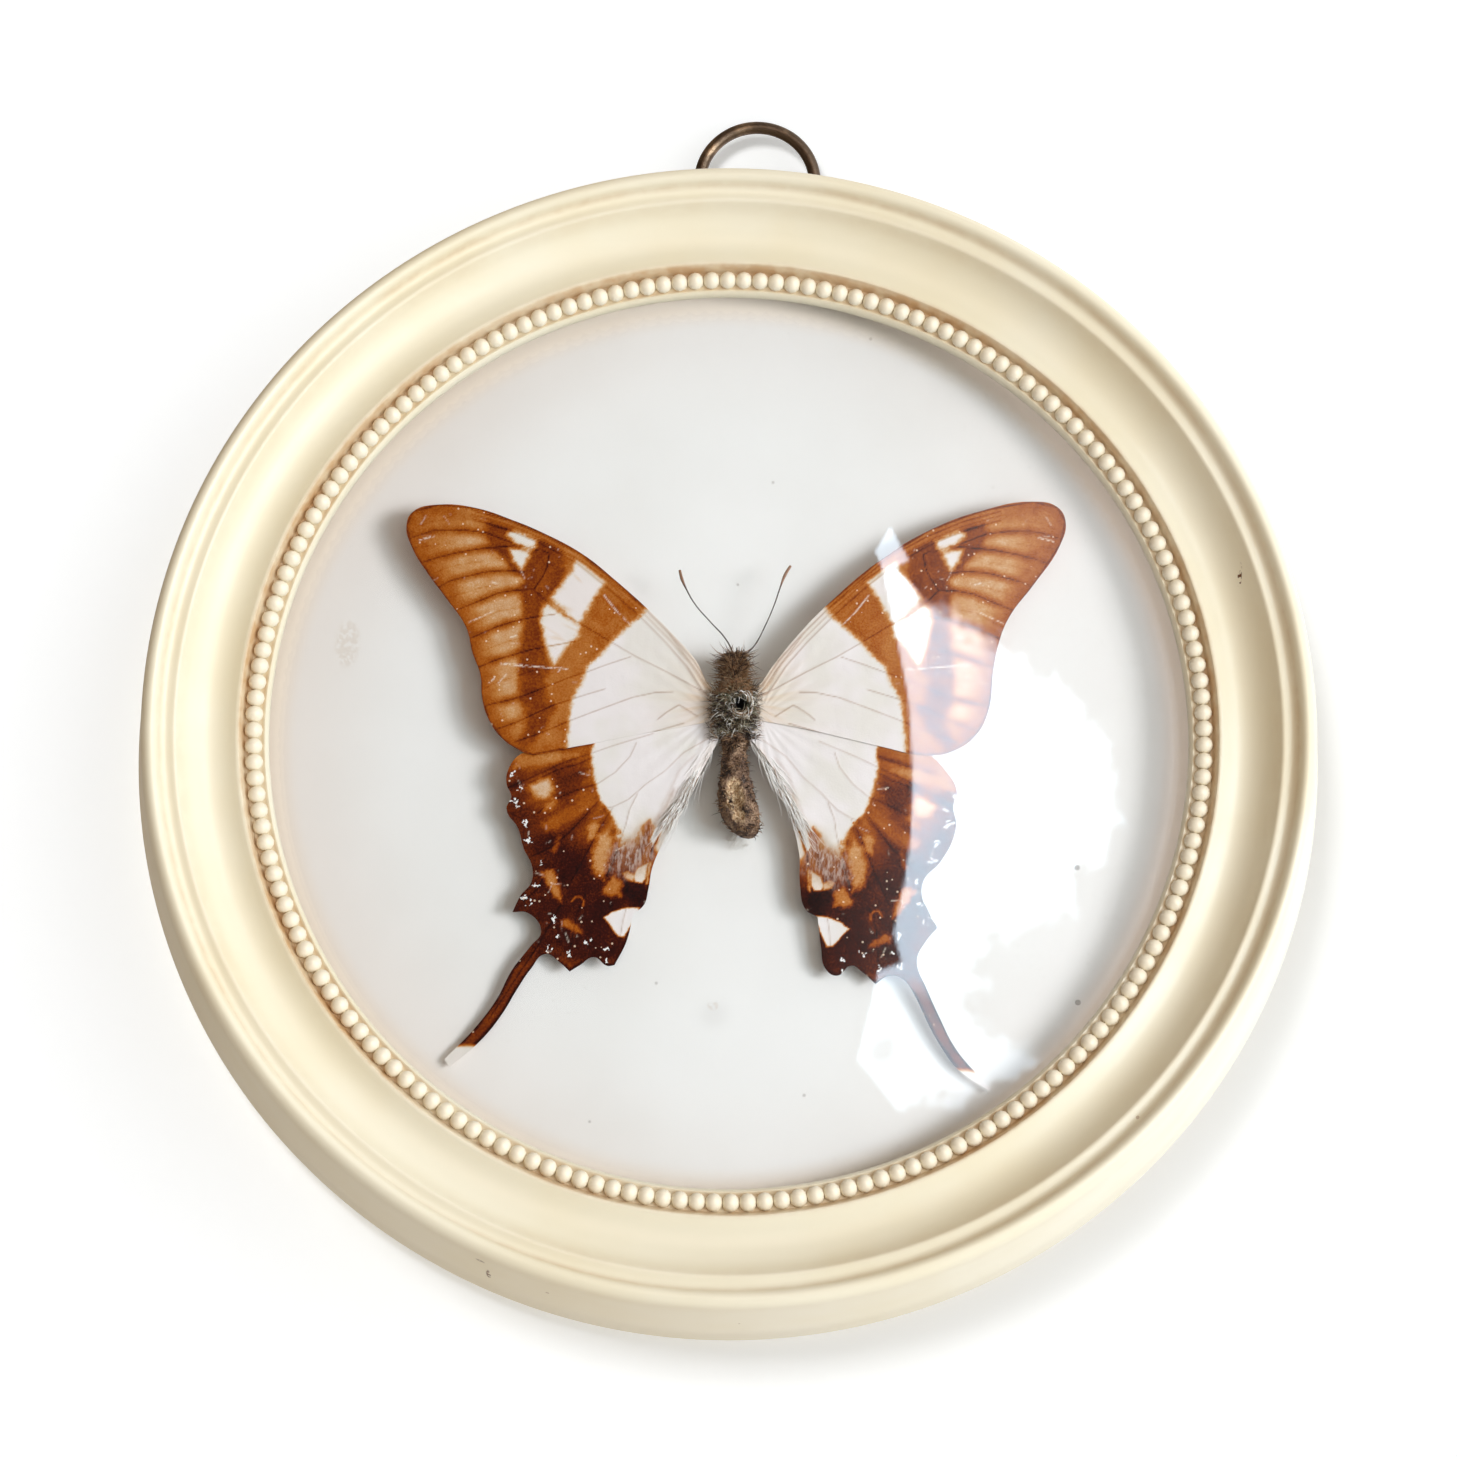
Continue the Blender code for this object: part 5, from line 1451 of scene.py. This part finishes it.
class SPECIMEN_OT_antennae(Operator):
    """Draw the two antennae as bent wires with clubs"""

    bl_idname = "specimen.antennae"
    bl_label = "Antennae"

    def execute(self, context):
        mat = antenna_horn()
        for name, node, route in (("left_antenna", "antenna_left", ANTENNA_LEFT),
                                  ("right_antenna", "antenna_right", ANTENNA_RIGHT)):
            deselect()
            bpy.ops.curve.primitive_bezier_curve_add(radius=MM)
            antenna = start_piece(name)
            curve = antenna.data
            curve.bevel_depth = 0.15 * MM
            curve.bevel_resolution = 3
            curve.resolution_u = 8
            curve.use_fill_caps = True
            knots = curve.splines[0].bezier_points
            knots.add(len(route) - len(knots))
            for knot, (across, up), swell in zip(knots, route, CLUB_SWELL):
                knot.co = (across * MM, up * MM, (BODY_AXIS_HEIGHT + 0.9) * MM)
                knot.handle_left_type = knot.handle_right_type = "AUTO"
                knot.radius = swell
            make_active(antenna)
            bpy.ops.object.convert(target="MESH")
            weld(antenna, 0.003)
            paint(antenna, "club", soft_step(18.6, 19.6, points_of(antenna)[:, 1]))
            antenna.data.shade_smooth()
            finish_piece(antenna, mat, "case", UPRIGHT @ SPECIMEN_TURN, [node])
        return {"FINISHED"}


# Stage


def window_glow():
    """Light seen in the glass only, which adds nothing to the light in the scene."""
    mat = bpy.data.materials.new("window_glow")
    mat.use_nodes = True
    tree = mat.node_tree
    tree.nodes.remove(tree.nodes["Principled BSDF"])
    rays = add(tree, "ShaderNodeLightPath")
    first = maths(tree, "LESS_THAN", rays.outputs["Diffuse Depth"], 0.5)
    light = add(tree, "ShaderNodeEmission", {"Color": (0.72, 0.86, 1.0, 1.0),
                                             "Strength": maths(tree, "MULTIPLY", first, 9.0)})
    clear = add(tree, "ShaderNodeBsdfTransparent")
    both = add(tree, "ShaderNodeMixShader", {0: attribute(tree, "bright"), 1: clear.outputs[0], 2: light.outputs[0]})
    tree.links.new(both.outputs[0], tree.nodes["Material Output"].inputs["Surface"])
    mat.cycles.emission_sampling = "NONE"
    return mat


def area_light(name, place, size, power, colour):
    deselect()
    bpy.ops.object.light_add(type="AREA", location=place)
    light = bpy.context.object
    light.name = name
    light.data.shape = "RECTANGLE"
    light.data.size, light.data.size_y = size
    light.data.energy = power
    light.data.color = colour
    light.location = place
    light.rotation_euler = (-Vector(place)).to_track_quat("-Z", "Y").to_euler()
    return light


CASE_PIECES = [
    "card_disc", "left_forewing", "right_forewing", "left_hindwing", "right_hindwing", "insect_body", "body_hair",
    "left_antenna", "right_antenna",
]
# Lights, all aimed at the origin: name, place, size, power, colour, how it is linked to which pieces, and the
# pieces that don't stop it
LIGHTS = [
    ("window_light", (0.87, -0.85, -0.14), (0.5, 0.7), 7.9, (0.79, 0.9, 1.0), "EXCLUDE", ["glass_dome", "wall"], []),
    ("front_light", (0.05, -1.3, 0.25), (1.1, 0.9), 4.3, (1.0, 0.79, 0.63), "EXCLUDE", ["glass_dome", "wall"], []),
    ("case_light", (1.15, -0.8, 0.02), (0.35, 0.4), 10.8, (1.0, 0.96, 0.99), "INCLUDE", CASE_PIECES,
     ["rim_moulding", "glass_dome"]),
    ("wall_light", (-0.42, -1.45, 0.36), (0.42, 0.42), 11.0, (0.98, 0.99, 1.0), "INCLUDE", ["wall"], []),
]


class SPECIMEN_OT_stage(Operator):
    """Set up the camera, the window light, the wall and the floor"""

    bl_idname = "specimen.stage"
    bl_label = "Stage"

    def execute(self, context):
        scene = context.scene
        scene.view_settings.view_transform = "Standard"
        deselect()
        bpy.ops.object.camera_add()
        camera = context.object
        camera.name = "photo_camera"
        camera.data.lens = CAMERA_LENS
        camera.data.sensor_width = 36.0
        camera.data.clip_start = 0.01
        pose = Matrix((Vector(CAMERA_RIGHT), -Vector(CAMERA_DOWN), -Vector(CAMERA_AHEAD))).transposed().to_4x4()
        pose.translation = Vector(CAMERA_PLACE) * MM
        camera.matrix_world = pose
        scene.camera = camera
        self.hang_window()
        self.build_room()
        self.light_it(scene)
        return {"FINISHED"}

    def light_it(self, scene):
        world = scene.world or bpy.data.worlds.new("studio")
        scene.world = world
        world.use_nodes = True
        tree = world.node_tree
        back = tree.nodes["Background"]
        # The room is brighter on the right, and dim on the side that the dome mirrors
        facing = Vector((0.0, -math.cos(math.radians(14)), math.sin(math.radians(14))))
        way = add(tree, "ShaderNodeTexCoord").outputs["Generated"]
        lined_up = add(tree, "ShaderNodeVectorMath", {0: way, 1: facing}, operation="DOT_PRODUCT").outputs["Value"]
        clear = spread(tree, lined_up, math.cos(math.radians(37)), math.cos(math.radians(47)), 0.015, 1.0)
        sideways = add(tree, "ShaderNodeSeparateXYZ", {0: way}).outputs["X"]
        clear = maths(tree, "MAXIMUM", clear, spread(tree, sideways, 0.06, 0.5, 0.0, 0.8))
        strength = maths(tree, "MULTIPLY", clear, spread(tree, sideways, -0.8, 0.9, 0.24, 1.55))
        tree.links.new(strength, back.inputs["Strength"])
        warmth = spread(tree, sideways, 0.6, -0.5)
        tree.links.new(mixed(tree, warmth, (0.95, 0.97, 1.0), (1.0, 0.8, 0.6)), back.inputs["Color"])
        for name, place, size, power, colour, state, pieces, clear_pieces in LIGHTS:
            light = area_light(name, place, size, power, colour)
            self.link_light(light, state, pieces)
            if clear_pieces:
                self.link_light(light, "EXCLUDE", clear_pieces, "blocker_collection")

    def link_light(self, light, state, names, kind="receiver_collection"):
        """Choose which pieces a light reaches, or which ones stop it."""
        group = bpy.data.collections.new(light.name + "_" + kind)
        for name in names:
            group.objects.link(bpy.data.objects[name])
        for entry in group.collection_objects:
            entry.light_linking.link_state = state
        setattr(light.light_linking, kind, group)

    def hang_window(self):
        """The window that the dome reflects: a bright pane whose right and lower edges have leaves before them."""
        heading = Vector((math.sin(math.radians(26)), -math.cos(math.radians(26)), 0.09)).normalized()
        deselect()
        bpy.ops.mesh.primitive_grid_add(x_subdivisions=110, y_subdivisions=240, size=2.0)
        pane = start_piece("window_pane")
        points = points_of(pane) * MM
        bearing, rise = 26.0 + 16.0 * points[:, 0], 5.0 + 32.0 * points[:, 1]
        leafy = from_line(bearing, rise, WINDOW_OUTLINE[WINDOW_LEAVES[0]:WINDOW_LEAVES[1] + 1])
        framed = from_line(bearing, rise, WINDOW_OUTLINE[WINDOW_LEAVES[1]:] + WINDOW_OUTLINE[:WINDOW_LEAVES[0] + 1])
        soft = 0.2 + 1.5 * soft_step(-0.4, 1.6, framed - leafy)
        leaves = 0.9 * wavy(bearing, rise, 0.35, 2.0) + 0.7 * wavy(bearing, rise, 0.9, 5.0)
        depth = depth_in(bearing, rise, WINDOW_OUTLINE) / soft
        bright = soft_step(-1.0, 1.0, depth + leaves * soft_step(0.3, 1.2, soft))
        blot = soft_step(1.5, 0.5, np.hypot((bearing - 16.4) / 1.0, (rise + 16.6) / 1.2) + 0.5 * leaves)
        paint(pane, "bright", bright * bright * (1.0 - 0.75 * blot) * (1.0 - 0.5 * soft_step(-9.0, -12.0, rise)))
        turn, tilt = np.radians(bearing), np.radians(rise)
        way = np.stack((np.sin(turn) * np.cos(tilt), -np.cos(turn) * np.cos(tilt), np.sin(tilt)), axis=1)
        move_points(pane, way * (1.5 / (way @ np.array(heading)))[:, None] / MM)
        pane.data.materials.append(window_glow())
        pane.visible_camera = False
        pane.visible_diffuse = False
        pane.visible_shadow = False

    def build_room(self):
        """A pale wall, seen only from the front, and a pale floor far below."""
        deselect()
        bpy.ops.mesh.primitive_plane_add(size=1.6, location=(0.0, 4.2 * MM, 0.0), rotation=(math.pi / 2, 0.0, 0.0))
        wall = start_piece("wall")
        mat, tree, shader, place = new_material("pale_wall", 0.95)
        shader.inputs["Base Color"].default_value = (0.96, 0.96, 0.96, 1.0)
        clear = add(tree, "ShaderNodeBsdfTransparent")
        side = add(tree, "ShaderNodeNewGeometry")
        both = add(tree, "ShaderNodeMixShader",
                   {0: side.outputs["Backfacing"], 1: shader.outputs[0], 2: clear.outputs[0]})
        tree.links.new(both.outputs[0], tree.nodes["Material Output"].inputs["Surface"])
        shader.inputs["Emission Color"].default_value = (0.8, 0.92, 1.0, 1.0)
        shader.inputs["Emission Strength"].default_value = 0.17
        wall.data.materials.append(mat)
        wall.visible_diffuse = False
        wall.visible_glossy = False
        wall.visible_transmission = False
        wall.visible_shadow = False
        bpy.ops.mesh.primitive_plane_add(size=6.0, location=(0.0, -0.6, -0.9))
        floor = start_piece("floor")
        mat, tree, shader, place = new_material("pale_floor", 0.9)
        shader.inputs["Base Color"].default_value = (0.86, 0.86, 0.86, 1.0)
        floor.data.materials.append(mat)
        floor.visible_glossy = False
        floor.visible_transmission = False


class SPECIMEN_PT_panel(Panel):
    """Lists the steps that build the specimen."""

    bl_label = "Framed butterfly"
    bl_idname = "SPECIMEN_PT_panel"
    bl_space_type = "VIEW_3D"
    bl_region_type = "UI"
    bl_category = "Specimen"

    def draw(self, context):
        for step in STEPS:
            self.layout.operator(step.bl_idname)
        for group in (context.scene.specimen_sizes, context.scene.specimen_colours):
            for name in group.bl_rna.properties.keys():
                if name not in ("name", "rna_type"):
                    self.layout.prop(group, name)


STEPS = (
    SPECIMEN_OT_moulding, SPECIMEN_OT_beads, SPECIMEN_OT_glass, SPECIMEN_OT_backing, SPECIMEN_OT_hanger,
    SPECIMEN_OT_ring, SPECIMEN_OT_wings, SPECIMEN_OT_body, SPECIMEN_OT_antennae, SPECIMEN_OT_stage,
)
CLASSES = (SpecimenSizes, SpecimenColours, *STEPS, SPECIMEN_PT_panel)


def register():
    for item in CLASSES:
        bpy.utils.register_class(item)
    bpy.types.Scene.specimen_sizes = PointerProperty(type=SpecimenSizes)
    bpy.types.Scene.specimen_colours = PointerProperty(type=SpecimenColours)


def unregister():
    del bpy.types.Scene.specimen_colours
    del bpy.types.Scene.specimen_sizes
    for item in reversed(CLASSES):
        bpy.utils.unregister_class(item)


def main():
    register()
    bpy.ops.specimen.moulding()
    bpy.ops.specimen.beads()
    bpy.ops.specimen.glass()
    bpy.ops.specimen.backing()
    bpy.ops.specimen.hanger()
    bpy.ops.specimen.ring()
    bpy.ops.specimen.wings()
    bpy.ops.specimen.body()
    bpy.ops.specimen.antennae()
    bpy.ops.specimen.stage()


if __name__ == "__main__":
    main()
